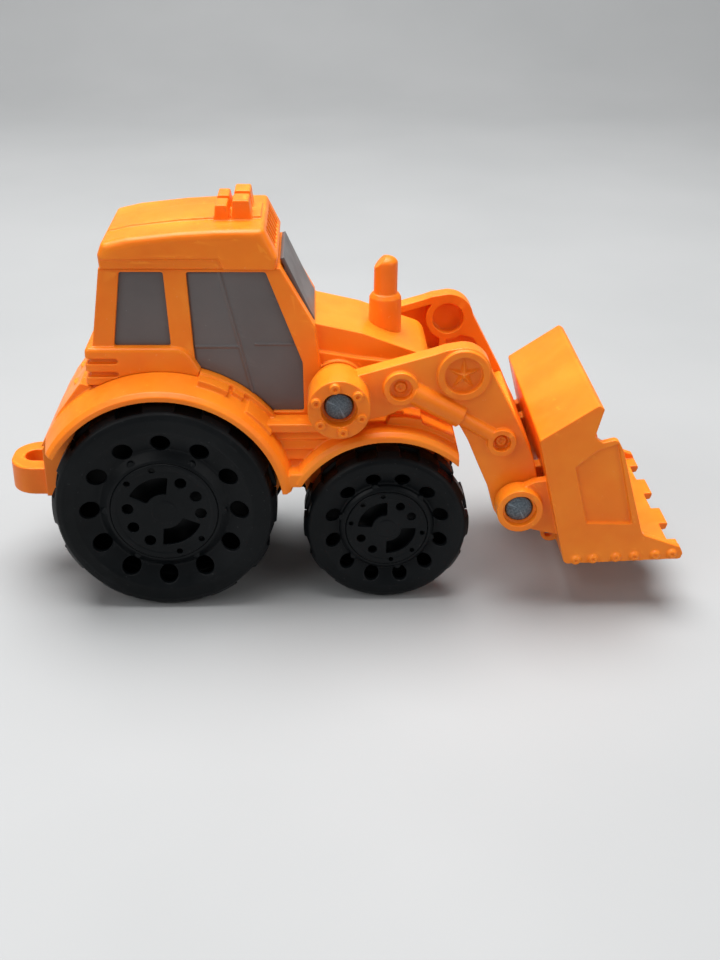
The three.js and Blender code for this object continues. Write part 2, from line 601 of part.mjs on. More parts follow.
const WHEEL_SEGMENTS = 24;

// Lugs on the tread, between two distances from the plane of symmetry.
function lugs(wheel, near, far, turn) {
  const half = radians(LUG_DEGREES / 2);
  const width = 2 * wheel.radius * Math.sin(half);
  return Array.from({ length: LUGS }, (_, k) => {
    const geometry = new THREE.BoxGeometry(width, far - near, 2.2);
    geometry.translate(0, -(near + far) / 2, -wheel.radius + 1.1).rotateY(radians(turn + (360 / LUGS) * k));
    return solid(geometry);
  });
}

function wheelOuterHalf(wheel) {
  const { inner: _, split, outer, shoulder, tread, dish, drum, dishDrop } = wheel;
  const near = split + GAP / 2;
  const floor = outer - dishDrop;
  const bore = AXLE_RADIUS + PIN_CLEARANCE;
  const profile = [[bore, -near], [bore + 2, -near], [bore + 2, -floor + 1.6],
    [dish - 0.6, -outer + 1.7], [tread - 1.4, -outer + 1.7], [tread - 1.2, -near], [tread, -near],
    [tread, -outer + 1], [shoulder, -outer], [dish, -outer], [drum, -floor],
    [wheel.cap + 0.7, -wheel.capOuter + 0.4], [wheel.cap + 0.3, -wheel.capOuter + 0.4],
    [wheel.cap + 0.3, -floor + 0.2], [bore, -floor + 0.2]];
  const holes = Array.from({ length: 12 }, (_k, k) => {
    const angle = radians(wheel.holeTurn + 30 * k);
    return rod([wheel.holeRing * Math.cos(angle), wheel.holeRing * Math.sin(angle)], wheel.holeRadius,
      -outer - 1, -floor + 2.4, 6);
  });
  return join(cut(turned(profile, [0, 0], WHEEL_SEGMENTS), holes), lugs(wheel, near, outer - 0.8, 0));
}

function wheelInnerHalf(wheel) {
  const { inner, split, shoulder, tread } = wheel;
  const near = split - GAP / 2;
  const bore = AXLE_RADIUS + PIN_CLEARANCE;
  const profile = [[bore, -inner - 4], [bore, -inner], [shoulder, -inner], [tread, -inner - 1],
    [tread, -near], [tread - 1.2, -near], [tread - 1.4, -inner - 1.5], [bore + 2, -inner - 1.5]];
  return join(turned(profile, [0, 0], WHEEL_SEGMENTS), lugs(wheel, inner + 0.8, near, 15));
}

// A curved opening between two radii and two angles.
function kidney(inner, outer, fromDegrees, toDegrees) {
  const far = arc([0, 0], outer, fromDegrees, toDegrees, 3);
  return [...far, ...arc([0, 0], inner, toDegrees, fromDegrees, 3)];
}

function hubCap(wheel) {
  const { cap, capOuter } = wheel;
  const disc = rod([0, 0], cap, -capOuter, -capOuter + 1, 20);
  const kidneys = [[84, 156], [-96, -24]].map(([from, to]) => (
    slab(kidney(cap * 0.36, cap * 0.71, from, to), -30, 0)));
  const holes = [60, 28, -4, 176, 208, 240].map((degrees) => {
    const angle = radians(degrees);
    return rod([cap * 0.68 * Math.cos(angle), cap * 0.68 * Math.sin(angle)], cap * 0.106, -30, 0, 6);
  });
  return cut(disc, kidneys, holes);
}

function wheelSet(parent, name, wheel) {
  const set = new THREE.Group();
  set.position.set(wheel.x, 0, wheel.radius);
  parent.add(set);
  const axle = rod([0, 0], AXLE_RADIUS, -wheel.axleHalf, wheel.axleHalf, 16);
  piece(set, `${name}_axle`, geometryOf(axle), STEEL);
  pair(set, `${name}_wheel_outer`, wheelOuterHalf(wheel), BLACK);
  pair(set, `${name}_wheel_inner`, wheelInnerHalf(wheel), BLACK);
  pair(set, `${name}_hub_cap`, hubCap(wheel), BLACK);
}

// Assembly

const loader = new THREE.Group();
const machine = new THREE.Group();
machine.position.x = -MIDDLE_X;
loader.add(machine);

piece(machine, 'lower_body', geometryOf(lowerBody()), PLASTIC);
piece(machine, 'upper_body', geometryOf(upperBody()), PLASTIC);
piece(machine, 'window_insert', geometryOf(windowInsert()), GLAZING);
piece(machine, 'roof', geometryOf(roof()), PLASTIC);
piece(machine, 'exhaust_stack', geometryOf(exhaustStack()), PLASTIC);
piece(machine, 'base_plate', geometryOf(basePlate()), BLACK);

const screwGeometry = geometryOf(baseScrew());
screwPlaces().forEach(([x, y, z], k) => {
  const screw = new THREE.Group();
  screw.position.set(x, y, z);
  machine.add(screw);
  piece(screw, `base_screw_${k + 1}`, screwGeometry, SCREW);
});

piece(machine, 'arm_pivot_shaft', geometryOf(rod(ARM_PIVOT, PIN_RADIUS, -23.9, 23.9)), STEEL);
pair(machine, 'loader_arm', armRight(), PLASTIC);
piece(machine, 'arm_cross_brace', geometryOf(crossBrace()), PLASTIC);
piece(machine, 'bucket', geometryOf(bucket()), PLASTIC);
pair(machine, 'bucket_pin', rod(BUCKET_PIVOT, PIN_RADIUS, -23.4, -13.5), STEEL);

wheelSet(machine, 'rear', REAR);
wheelSet(machine, 'front', FRONT);

export default loader;
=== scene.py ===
# Looks of a toy front loader: detailed pieces that stand for the CAD nodes, their materials, a pale
# floor, soft light and the camera. Shapes are drawn in millimetres from the rear axle, with +X to the
# bucket and z = 0 on the floor, and each finished mesh is moved into the row frame in metres.
import json
import math

import bpy
from mathutils import Matrix, Vector


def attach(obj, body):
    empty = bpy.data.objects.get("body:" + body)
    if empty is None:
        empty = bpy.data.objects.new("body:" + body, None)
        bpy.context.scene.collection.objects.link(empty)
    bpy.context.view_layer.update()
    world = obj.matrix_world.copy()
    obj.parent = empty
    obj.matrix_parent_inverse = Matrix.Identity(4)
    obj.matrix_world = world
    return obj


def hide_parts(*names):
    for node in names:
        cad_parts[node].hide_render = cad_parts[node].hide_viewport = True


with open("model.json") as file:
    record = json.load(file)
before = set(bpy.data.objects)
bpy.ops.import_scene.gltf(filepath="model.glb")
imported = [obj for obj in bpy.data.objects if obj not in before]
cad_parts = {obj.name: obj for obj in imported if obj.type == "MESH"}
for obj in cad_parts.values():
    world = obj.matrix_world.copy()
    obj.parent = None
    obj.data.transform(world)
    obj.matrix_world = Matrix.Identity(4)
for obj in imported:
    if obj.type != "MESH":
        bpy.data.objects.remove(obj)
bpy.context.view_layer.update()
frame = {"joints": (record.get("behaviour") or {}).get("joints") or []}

MM = 0.001
joints = {joint["name"]: joint for joint in frame["joints"]}


def side_point(joint_name):
    """A joint's axis in the side view, in millimetres from the rear axle."""
    x, _, z = joints[joint_name]["pos_m"]
    rear_x = joints["rear_wheel_spin"]["pos_m"][0]
    return ((x - rear_x) / MM, z / MM)


REAR_AXLE = side_point("rear_wheel_spin")
FRONT_AXLE = side_point("front_wheel_spin")
ARM_PIVOT = side_point("arm_lift")
BUCKET_PIVOT = side_point("bucket_tilt")
SHIFT = Vector((joints["rear_wheel_spin"]["pos_m"][0], 0, 0))

HITCH_REAR_X = -37.8
WALL = 1.7
# GAP is the room between separate mouldings, and SEAM the fine line between two that touch.
GAP = 0.3
SEAM = 0.06
CHASSIS_HALF = 10
CAB_HALF = 13.6
HOOD_HALF = 11
SHOULDER_HALF = 12.2
DECK_Z = 45.5
LOW_DECK_Z = 43.4
SILL_Z = 44.2
CAB_TOP_Z = 77.8
PIN_RADIUS = 3
PIN_CLEARANCE = 0.1
AXLE_RADIUS = 1.5
ELBOW = (65.5, 56.2)
ARM_INNER = 15.3
ARM_OUTER = 19.6
HUB_RADIUS = 6.7
HUB_OUTER = 25.9
BUCKET_HALF = 24.7
HEAD_ROOT = 0.8


# Paths

def outline(corners, steps=8):
    """A closed path through corners (x, y) or (x, y, radius); a corner with a radius becomes an arc."""
    points = []
    for i, corner in enumerate(corners):
        at = Vector(corner[:2])
        if len(corner) < 3:
            points.append(at)
            continue
        before = (Vector(corners[i - 1][:2]) - at).normalized()
        after = (Vector(corners[(i + 1) % len(corners)][:2]) - at).normalized()
        half = before.angle(after) / 2
        middle = (before + after).normalized()
        centre = at + middle * (corner[2] / math.sin(half))
        start = at + before * (corner[2] / math.tan(half)) - centre
        sign = math.copysign(1, start.x * -middle.y + start.y * middle.x)
        for k in range(steps + 1):
            turn = (math.pi - 2 * half) * sign * k / steps
            points.append(centre + Matrix.Rotation(turn, 2) @ start)
    return [tuple(p) for p in points]


def arc(centre, radius, start, end, steps=24):
    """Points on an arc, between two angles in degrees."""
    angles = [math.radians(start + (end - start) * k / steps) for k in range(steps + 1)]
    return [(centre[0] + radius * math.cos(a), centre[1] + radius * math.sin(a)) for a in angles]


# Closed solids, as meshes

def solid(points, faces):
    mesh = bpy.data.meshes.new("solid")
    mesh.from_pydata(points, [], faces)
    volume = 0
    for polygon in mesh.polygons:
        volume += polygon.area * polygon.normal.dot(mesh.vertices[polygon.vertices[0]].co)
    if volume < 0:
        mesh.flip_normals()
    return mesh


def prism(path, place, low, high):
    """A path extruded between two heights; place turns (a, b, height) into a point."""
    count = len(path)
    points = [place(a, b, h) for h in (low, high) for a, b in path]
    sides = [(k, (k + 1) % count, count + (k + 1) % count, count + k) for k in range(count)]
    return solid(points, [list(range(count))[::-1], list(range(count, 2 * count))] + sides)


def slab(corners, y0, y1, steps=8):
    """An (x, z) outline, extruded from y0 to y1."""
    return prism(outline(corners, steps), lambda x, z, y: (x, y, z), y0, y1)


def slabs(corners, inner, outer, steps=8):
    """The same slab on both sides of the plane of symmetry."""
    return [slab(corners, inner, outer, steps), slab(corners, -outer, -inner, steps)]


def plan(corners, z0, z1, steps=12):
    """An (x, y) outline, extruded from z0 to z1."""
    return prism(outline(corners, steps), lambda x, y, z: (x, y, z), z0, z1)


def across(edge):
    """Stations on both sides of the plane of symmetry, from (distance from it, inset) pairs."""
    return [(-y, inset) for y, inset in edge[::-1]] + edge


def loft(stations):
    """A solid through (y, outline) stations whose outlines have the same number of points."""
    count = len(stations[0][1])
    points = [(x, y, z) for y, path in stations for x, z in path]
    faces = [list(range(count))[::-1], list(range(len(points) - count, len(points)))]
    for row in range(len(stations) - 1):
        a, b = row * count, (row + 1) * count
        faces += [(a + k, a + (k + 1) % count, b + (k + 1) % count, b + k) for k in range(count)]
    return solid(points, faces)


def block(xs, ys, zs):
    """A box between two values on each axis."""
    return slab([(xs[0], zs[0]), (xs[1], zs[0]), (xs[1], zs[1]), (xs[0], zs[1])], ys[0], ys[1])


def blocks(xs, ys, zs):
    """A box on each side of the plane of symmetry."""
    return [block(xs, ys, zs), block(xs, (-ys[1], -ys[0]), zs)]


def turned(profile, centre, segments=96, upright=False):
    """A closed (radius, height) profile turned about the Y axis, or the Z axis if upright."""
    points, rings = [], []
    for radius, height in profile:
        count = segments if radius > 0 else 1
        rings.append((len(points), count))
        for k in range(count):
            a = 2 * math.pi * k / segments
            u, v = centre[0] + radius * math.cos(a), centre[1] + radius * math.sin(a)
            points.append((u, v, height) if upright else (u, height, v))
    faces = []
    for (start, count), (other, other_count) in zip(rings, rings[1:] + rings[:1]):
        if count == other_count == 1:
            continue
        for k in range(segments):
            m = (k + 1) % segments
            corners = [start + k % count, start + m % count, other + m % other_count, other + k % other_count]
            faces.append(list(dict.fromkeys(corners)))
    return solid(points, faces)


def rod(centre, radius, y0, y1, segments=48):
    """A cylinder across the machine."""
    return turned([(0, y0), (radius, y0), (radius, y1), (0, y1)], centre, segments)


def rods(centre, radius, inner, outer, segments=48):
    """The same cylinder on both sides of the plane of symmetry."""
    return [rod(centre, radius, inner, outer, segments), rod(centre, radius, -outer, -inner, segments)]


def post(centre, z0, z1, bottom, top=None, segments=48):
    """An upright cylinder or cone."""
    top = bottom if top is None else top
    return turned([(0, z0), (bottom, z0), (top, z1), (0, z1)], centre, segments, upright=True)


def domed(centre, radius, foot, top, segments=32):
    """A round head on a side face, from its foot at y = foot to its crown at y = top."""
    rise = top - foot
    root = foot - math.copysign(HEAD_ROOT, rise)
    steps = [k / 6 * math.pi / 2 for k in range(6)]
    crown = [(radius * math.cos(a), foot + rise * math.sin(a)) for a in steps] + [(0, top)]
    return turned([(0, root), (radius, root)] + crown, centre, segments)


def lying_rod(start, end, radius, y, segments=40):
    """A cylinder along a line of the side view."""
    along = Vector((end[0] - start[0], 0, end[1] - start[1]))
    mesh = post((0, 0), 0, along.length, radius, radius, segments)
    turn = along.to_track_quat("Z", "Y").to_matrix().to_4x4()
    mesh.transform(Matrix.Translation((start[0], y, start[1])) @ turn)
    return mesh


# Joining and cutting

def flat(items):
    """A list of solids out of solids and nested lists of them."""
    result = []
    for item in items:
        result.extend(flat(item) if isinstance(item, (list, tuple)) else [item])
    return result


def scratch_object(mesh):
    thing = bpy.data.objects.new("scratch", mesh)
    bpy.context.scene.collection.objects.link(thing)
    return thing


def baked(thing):
    """The mesh that an object's modifiers make."""
    graph = bpy.context.evaluated_depsgraph_get()
    graph.update()
    return bpy.data.meshes.new_from_object(thing.evaluated_get(graph))


def combine(operation, whole, tools):
    """One solid after a Boolean operation with each tool in turn."""
    base = scratch_object(whole)
    helpers = [scratch_object(tool) for tool in flat(tools)]
    for helper in helpers:
        step = base.modifiers.new("step", "BOOLEAN")
        step.operation = operation
        step.solver = "MANIFOLD"
        step.object = helper
    result = baked(base)
    for thing in [base] + helpers:
        bpy.data.objects.remove(thing)
    return result


def join(*solids):
    first, *rest = flat(solids)
    return combine("UNION", first, rest)


def cut(whole, *tools):
    return combine("DIFFERENCE", whole, tools)


def meet(whole, tool):
    return combine("INTERSECT", whole, [tool])


def moulded(mesh, voxel, soften, keep):
    """The solid with the soft, even edges of an injection moulding; keep is the share of faces left."""
    coarser = 1
    thing = scratch_object(mesh)
    remesh = thing.modifiers.new("remesh", "REMESH")
    remesh.mode = "VOXEL"
    remesh.voxel_size = voxel * coarser
    smooth = thing.modifiers.new("smooth", "SMOOTH")
    smooth.factor = 0.5
    smooth.iterations = max(1, round(soften / coarser))
    thin = thing.modifiers.new("thin", "DECIMATE")
    thin.ratio = keep
    result = baked(thing)
    bpy.data.objects.remove(thing)
    return result


def mirrored(mesh):
    other = mesh.copy()
    other.transform(Matrix.Scale(-1, 4, (0, 1, 0)))
    other.flip_normals()
    return other


def piece(name, mesh, body, nodes, material):
    """A finished piece in the row frame, riding on its body."""
    mesh.transform(Matrix.Translation(SHIFT) @ Matrix.Scale(MM, 4))
    mesh.shade_smooth()
    mesh.materials.clear()
    mesh.materials.append(material)
    mesh.name = name
    thing = bpy.data.objects.new(name, mesh)
    bpy.context.scene.collection.objects.link(thing)
    weighted = thing.modifiers.new("weighted", "WEIGHTED_NORMAL")
    weighted.keep_sharp = False
    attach(thing, body)
    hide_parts(*nodes)
    return thing


def pair(name, mesh, body, material):
    """A piece for the right side and its mirror image for the left."""
    left = mirrored(mesh)
    piece(f"{name}_right_skin", mesh, body, [f"{name}_right"], material)
    piece(f"{name}_left_skin", left, body, [f"{name}_left"], material)


# Materials. Noise scales are features to the metre, and bump distances are in metres.

GRAIN = 0.35
GLOW_SPREAD = (1.0, 0.35, 0.08)
GLOW_DEPTH = 0.0012


def new_material(name, colour):
    material = bpy.data.materials.new(name)
    material.use_nodes = True
    material.diffuse_color = (*colour, 1)
    return material, material.node_tree.nodes, material.node_tree.links


def noise(nodes, links, scale, detail=3, roughness=0.5):
    """Noise fixed to the piece, with features a given number to the metre."""
    place = nodes.new("ShaderNodeTexCoord")
    texture = nodes.new("ShaderNodeTexNoise")
    texture.inputs["Scale"].default_value = scale
    texture.inputs["Detail"].default_value = detail
    texture.inputs["Roughness"].default_value = roughness
    links.new(place.outputs["Object"], texture.inputs["Vector"])
    return texture.outputs["Fac"]


def ramp(nodes, links, value, stops):
    """A colour or value ramp through (position, colour) stops."""
    node = nodes.new("ShaderNodeValToRGB")
    elements = node.color_ramp.elements
    while len(elements) < len(stops):
        elements.new(0.5)
    for element, (position, colour) in zip(elements, stops):
        element.position = position
        element.color = (*colour, 1) if isinstance(colour, tuple) else (colour, colour, colour, 1)
    links.new(value, node.inputs["Fac"])
    return node.outputs["Color"]


def mix(nodes, links, share, first, second):
    node = nodes.new("ShaderNodeMix")
    node.data_type = "RGBA"
    for socket, value in (("Factor", share), ("A", first), ("B", second)):
        target = [s for s in node.inputs if s.name == socket and s.enabled][0]
        if isinstance(value, bpy.types.NodeSocket):
            links.new(value, target)
        else:
            target.default_value = (*value, 1) if isinstance(value, tuple) else value
    return [s for s in node.outputs if s.enabled][0]


def bump(nodes, links, height, distance, strength, before=None):
    node = nodes.new("ShaderNodeBump")
    node.inputs["Distance"].default_value = distance
    node.inputs["Strength"].default_value = strength
    links.new(height, node.inputs["Height"])
    if before is not None:
        links.new(before, node.inputs["Normal"])
    return node.outputs["Normal"]


def edges(nodes, links, low, high):
    """A mask that is 1 along convex edges, where a paler colour is painted as a highlight."""
    geometry = nodes.new("ShaderNodeNewGeometry")
    return ramp(nodes, links, geometry.outputs["Pointiness"], [(low, 0.0), (high, 1.0)])


def plastic(name, colour, light, dark, gloss, shine, glow, specks):
    """Moulded plastic: clouded colour, paler convex edges as a painted highlight, dust specks and a fine
    grained surface.

    gloss holds the lowest and highest roughness, glow is the share of light that spreads inside, and
    specks holds the noise level at which a speck starts, its share and its colour.
    """
    speck_level, speck_share, speck_colour = specks
    material, nodes, links = new_material(name, colour)
    shader = nodes["Principled BSDF"]
    clouds = ramp(nodes, links, noise(nodes, links, 55, 4), [(0.3, dark), (0.5, colour), (0.72, light)])
    flow = ramp(nodes, links, noise(nodes, links, 380, 3), [(0.35, 0.0), (0.75, 0.22)])
    streaked = mix(nodes, links, flow, clouds, light)
    # Paler colour along convex edges, painted as a highlight where light catches the rounded edges.
    edge_highlight = mix(nodes, links, edges(nodes, links, 0.53, 0.64), streaked, light)
    dust = ramp(nodes, links, noise(nodes, links, 1500, 1),
                [(speck_level, 0.0), (speck_level + 0.03, speck_share)])
    dusty = mix(nodes, links, dust, edge_highlight, speck_colour)
    links.new(dusty, shader.inputs["Base Color"])
    rough = ramp(nodes, links, noise(nodes, links, 160, 5), [(0.3, gloss[0]), (0.7, gloss[1])])
    links.new(rough, shader.inputs["Roughness"])
    coarse = bump(nodes, links, noise(nodes, links, 420, 3), 0.00006, GRAIN)
    fine = bump(nodes, links, noise(nodes, links, 3600, 2), 0.00003, GRAIN, coarse)
    links.new(fine, shader.inputs["Normal"])
    shader.inputs["Specular IOR Level"].default_value = shine
    if glow:
        shader.inputs["Subsurface Weight"].default_value = glow
        shader.inputs["Subsurface Radius"].default_value = GLOW_SPREAD
        shader.inputs["Subsurface Scale"].default_value = GLOW_DEPTH
    return material


def steel(name, colour, dark, scale, gloss):
    """Cut steel rod: dull, speckled with fine pits."""
    material, nodes, links = new_material(name, colour)
    shader = nodes["Principled BSDF"]
    pits = noise(nodes, links, scale, 4, 0.7)
    tint = ramp(nodes, links, pits, [(0.38, dark), (0.62, colour)])
    # Paler colour along convex edges, painted as a highlight where light catches the rod's rounded ends.
    edge_highlight = mix(nodes, links, edges(nodes, links, 0.52, 0.6), tint, tuple(min(1, c * 1.5) for c in colour))
    links.new(edge_highlight, shader.inputs["Base Color"])
    shader.inputs["Metallic"].default_value = 0.75
    links.new(ramp(nodes, links, pits, [(0.3, gloss[1]), (0.7, gloss[0])]), shader.inputs["Roughness"])
    links.new(bump(nodes, links, pits, 0.00008, 0.6), shader.inputs["Normal"])
    return material


ORANGE = plastic(
    "orange_plastic", colour=(0.88, 0.205, 0.008), light=(0.93, 0.265, 0.016), dark=(0.82, 0.172, 0.006),
    gloss=(0.30, 0.46), shine=0.28, glow=0.2, specks=(0.75, 0.2, (0.95, 0.5, 0.2)))
GLAZING = plastic(
    "grey_plastic", colour=(0.112, 0.100, 0.098), light=(0.130, 0.118, 0.116), dark=(0.096, 0.086, 0.085),
    gloss=(0.28, 0.40), shine=0.4, glow=0, specks=(0.78, 0.35, (0.35, 0.34, 0.34)))
BLACK = plastic(
    "black_plastic", colour=(0.0020, 0.0030, 0.0038), light=(0.006, 0.007, 0.008),
    dark=(0.001, 0.0018, 0.0024), gloss=(0.34, 0.50), shine=0.15, glow=0,
    specks=(0.74, 0.35, (0.05, 0.05, 0.05)))
STEEL = steel(
    "steel", colour=(0.15, 0.19, 0.22), dark=(0.05, 0.065, 0.075), scale=2300, gloss=(0.42, 0.66))
SCREW = steel(
    "screw_steel", colour=(0.45, 0.46, 0.47), dark=(0.22, 0.22, 0.23), scale=900, gloss=(0.25, 0.45))


# Fenders: drums about the axles, cut to the visible sector

REAR_ARCH_HALF = 23.5
FRONT_ARCH_HALF = 22.5
REAR_ARCH = 26.6
FRONT_ARCH = 22.5
REAR_CROWN = 30
FLANGE = 31.3
FRONT_CROWN = 24.9
HOOD_FRONT_X = 60
NOSE_X = 64.6


def sector(centre, start, end, half):
    """A wedge about an axle between two angles of the side view, larger than any fender."""
    return slab([centre] + arc(centre, 60, start, end, 12), -half, half)


def fender_drum(centre, edge, lip, crown, crown_half):
    """A drum with a flat crown that falls to a rounded lip at each edge."""
    profile = [(0, -edge), (lip - 0.9, -edge), (lip, -edge + 1), (crown, -crown_half),
               (crown, crown_half), (lip, edge - 1), (lip - 0.9, edge), (0, edge)]
    return turned(profile, centre, 128)


# Lower body

LOUVRE_HALF = 18.3
SILL_HALF = 18.9
DECK_HALF = 18
PLINTH_HALF = 12.4
BELLY_REAR_Z = 22
BELLY_MIDDLE_Z = 25.6
BELLY_FRONT_Z = 16.1
TAIL_X = -28.5
STEP_REAR_X = 24
STEP_FRONT_X = 33


def belly_line(lift, tail, nose):
    """The line of the belly, from tail to nose, raised by some height."""
    return [(tail, BELLY_REAR_Z + lift), (STEP_REAR_X, BELLY_REAR_Z + lift),
            (STEP_REAR_X + 2, BELLY_MIDDLE_Z + lift), (STEP_FRONT_X - 2, BELLY_MIDDLE_Z + lift),
            (STEP_FRONT_X, BELLY_FRONT_Z + lift), (nose, BELLY_FRONT_Z + lift)]


def tow_hitch():
    """A loop at the tail with a slot for a pin."""
    half = 7.4
    loop = plan([(TAIL_X + 2, -half), (TAIL_X + 2, half), (HITCH_REAR_X, half, 6.2),
                 (HITCH_REAR_X, -half, 6.2)], 21.2, 27.8)
    eye = plan([(TAIL_X - 1, -2.9), (TAIL_X - 1, 2.9), (HITCH_REAR_X + 2.9, 2.9, 2.6),
                (HITCH_REAR_X + 2.9, -2.9, 2.6)], 20, 29)
    return cut(loop, eye)


def louvres():
    """Overlapping planks between the fenders, each leaning out at its foot."""
    planks = []
    for k in range(5):
        foot = 30.4 + 2.4 * k
        planks += slabs_leaning((20, 40), LOUVRE_HALF - 0.12 * k, foot, foot + 2.05)
    return planks


def slabs_leaning(xs, half, foot, top):
    """A plank on each side whose face leans in from foot to top."""
    profile = [(half - 1.4, foot), (half, foot), (half, foot + 0.5), (half - 0.55, top), (half - 1.4, top)]
    place = lambda y, z, x: (x, y, z)
    return [prism(path, place, xs[0], xs[1]) for path in (profile, [(-y, z) for y, z in profile])]


def fender_step(inner, outer, height, start, end):
    """A raised band on the rear fender beside the cab, on both sides."""
    bands = [turned([(20, low), (height, low), (height, high), (20, high)], REAR_AXLE, 128)
             for low, high in ((-outer, -inner), (inner, outer))]
    return meet(join(bands), sector(REAR_AXLE, start, end, outer + 1))


def fender_plate():
    """A long plate on the front slope of the rear fender, on both sides."""
    profile = [(20, 12.6), (30.6, 12.6), (30.6, 14), (29.7, 20), (20, 20)]
    plates = [turned(profile, REAR_AXLE, 128), turned([(r, -y) for r, y in profile], REAR_AXLE, 128)]
    return meet(join(plates), sector(REAR_AXLE, 36, 51, 21))


def screw_places():
    """Where the belly line meets each base screw."""
    return [(x, y, z) for x, z in ((-18, BELLY_REAR_Z), (60, BELLY_FRONT_Z)) for y in (-5, 5)]


def lower_body():
    """Chassis with fenders, waist, decks and tow loop, hollow from below, with axle slots and screw posts."""
    core = slab(belly_line(0, TAIL_X, NOSE_X) + [
        (NOSE_X, DECK_Z - 1.5), (NOSE_X - 1.5, DECK_Z), (35.5, DECK_Z), (35.5, SILL_Z), (18, SILL_Z),
        (0, 50), (-17.6, 51.8), (-23.4, 44), (TAIL_X, 34)], -CHASSIS_HALF, CHASSIS_HALF)
    tail = slab([(-17.8, 51.8), (-23.4, 44.4), (-27.9, 36.4), (-20, 38), (-12, 50)], -CAB_HALF, CAB_HALF)
    rear_fender = meet(fender_drum(REAR_AXLE, REAR_ARCH_HALF, 28.6, REAR_CROWN, 15.1),
                       sector(REAR_AXLE, 9, 151, REAR_ARCH_HALF + 1))
    front_fender = cut(meet(fender_drum(FRONT_AXLE, FRONT_ARCH_HALF, 24.7, FRONT_CROWN, 13.2),
                            sector(FRONT_AXLE, 47, 149, FRONT_ARCH_HALF + 1)),
                       block((NOSE_X + 0.6, 80), (-30, 30), (20, 60)))
    waist_half = LOUVRE_HALF - 0.9
    waist = slab([(24, 30), (34, 30), (44, LOW_DECK_Z), (18, SILL_Z)], -waist_half, waist_half)
    keel = slab([(26.6, 30.4), (32.2, 30.4), (31, 33.6), (28, 33.6)], -22.3, 22.3)
    sill = slab([(17, SILL_Z - 2), (36, SILL_Z - 2), (34, SILL_Z), (19, SILL_Z)],
                -SILL_HALF, SILL_HALF)
    deck = slab([(38, 36), (NOSE_X + 0.4, 34), (NOSE_X - 0.2, 40.6), (57.2, 43.8), (57, 44.9), (53, DECK_Z),
                 (50, DECK_Z), (49, LOW_DECK_Z), (38, LOW_DECK_Z)], -DECK_HALF, DECK_HALF)
    plinth = slab([(38, 36), (NOSE_X, 34), (NOSE_X, DECK_Z - 1.5), (NOSE_X - 1.5, DECK_Z), (50, DECK_Z),
                   (49, LOW_DECK_Z), (38, LOW_DECK_Z)], -PLINTH_HALF, PLINTH_HALF)
    treads = blocks((49.8, 53), (12, 16.6), (40, DECK_Z + 0.5))
    steps = [fender_step(CAB_HALF - 1, 15.2, FLANGE, 36, 74), fender_step(CAB_HALF - 1, 18.6, 30.8, 61, 74),
             fender_step(CAB_HALF - 1, 17, 30.7, 54, 59), fender_plate()]
    body = join(core, tail, rear_fender, front_fender, waist, louvres(), keel, sill, deck, plinth, treads,
                steps, tow_hitch())
    wells = [rods(REAR_AXLE, REAR_ARCH, CHASSIS_HALF, 30, 128),
             rods(FRONT_AXLE, FRONT_ARCH, CHASSIS_HALF, 30, 128)]
    room_half = CHASSIS_HALF - WALL
    room = slab(belly_line(-8, TAIL_X + WALL, NOSE_X - WALL) + [
        (NOSE_X - WALL, DECK_Z - WALL), (37.5, DECK_Z - WALL), (37.5, SILL_Z - WALL), (18, SILL_Z - WALL),
        (0, 48), (-17, 49), (-21.6, 43), (TAIL_X + WALL, 33.6)], -room_half, room_half)
    half = AXLE_RADIUS + PIN_CLEARANCE
    slots = [[block((x - half, x + half), (-11, 11), (z - 12, z)), rod((x, z), half, -11, 11)]
             for x, z in (REAR_AXLE, FRONT_AXLE)]
    hub_seats = rods(ARM_PIVOT, HUB_RADIUS + 0.5, CHASSIS_HALF + 2.5, 30)
    shell = cut(body, wells, room, slots, hub_seats)
    pillars = [post((x, y), z, 49 if x < 0 else DECK_Z - 1, 2.8) for x, y, z in screw_places()]
    pilots = [post((x, y), z - 1, z + 9, 1.5) for x, y, z in screw_places()]
    return cut(join(shell, pillars), pilots)


# Upper body: cab frame, belt and hood

HOOD_REAR_Z = 64.8
BELT_TOP_Z = 60.4
GROOVE = 1.2
WINDOW_TOP_Z = 77
BELT_EDGE = [(14, 0), (14.4, 0.08), (14.7, 0.28), (14.87, 0.58), (14.95, 0.95)]
WINDSCREEN_TOP = (26.3, CAB_TOP_Z)
WINDSCREEN_FOOT = (33.6, HOOD_REAR_Z)
REAR_GLASS_TOP = (-11.7, CAB_TOP_Z)
REAR_GLASS_FOOT = (-14.4, 60)
STACK = (49.4, 0)


def along(top, foot, start, end, inward, outward, half):
    """A slab that follows a sloping wall from one share of its run to another, between two offsets."""
    run = Vector((foot[0] - top[0], foot[1] - top[1]))
    normal = Vector((-run.y, run.x)).normalized()
    places = [(start, inward), (end, inward), (end, outward), (start, outward)]
    return slab([tuple(Vector(top) + run * share + normal * offset) for share, offset in places], -half, half)


def rear_window(margin, radius=0.5):
    """Side window behind the door, widened by a margin."""
    return [(-7.5 - margin, WINDOW_TOP_Z + margin, radius), (1.7 + margin, WINDOW_TOP_Z + margin, radius),
            (2.5 + margin, BELT_TOP_Z - margin, radius), (-9.7 - margin, BELT_TOP_Z - margin, radius)]


def door_window(margin, radius=0.5):
    """Glazed door, widened by a margin."""
    return [(6.5 - margin, WINDOW_TOP_Z + margin, radius), (23.2 + margin, WINDOW_TOP_Z + margin, radius),
            (30.9 + margin, 56.5, 2), (31.1 + margin, 45 - margin, radius), (20 - margin, 45 - margin),
            (7.8 - margin, 54 - margin), (7.3 - margin, BELT_TOP_Z)]


def cab_side(inset):
    """Cab in the side view, pulled in by an inset."""
    return [(-15.4 + inset, 44), (REAR_GLASS_FOOT[0] + inset, 60),
            (REAR_GLASS_TOP[0] + inset, CAB_TOP_Z - inset),
            (WINDSCREEN_TOP[0] - inset * 0.8, CAB_TOP_Z - inset),
            (WINDSCREEN_FOOT[0] - inset, HOOD_REAR_Z - inset * 0.4), (34.8 - inset, 55), (34.8 - inset, 44)]


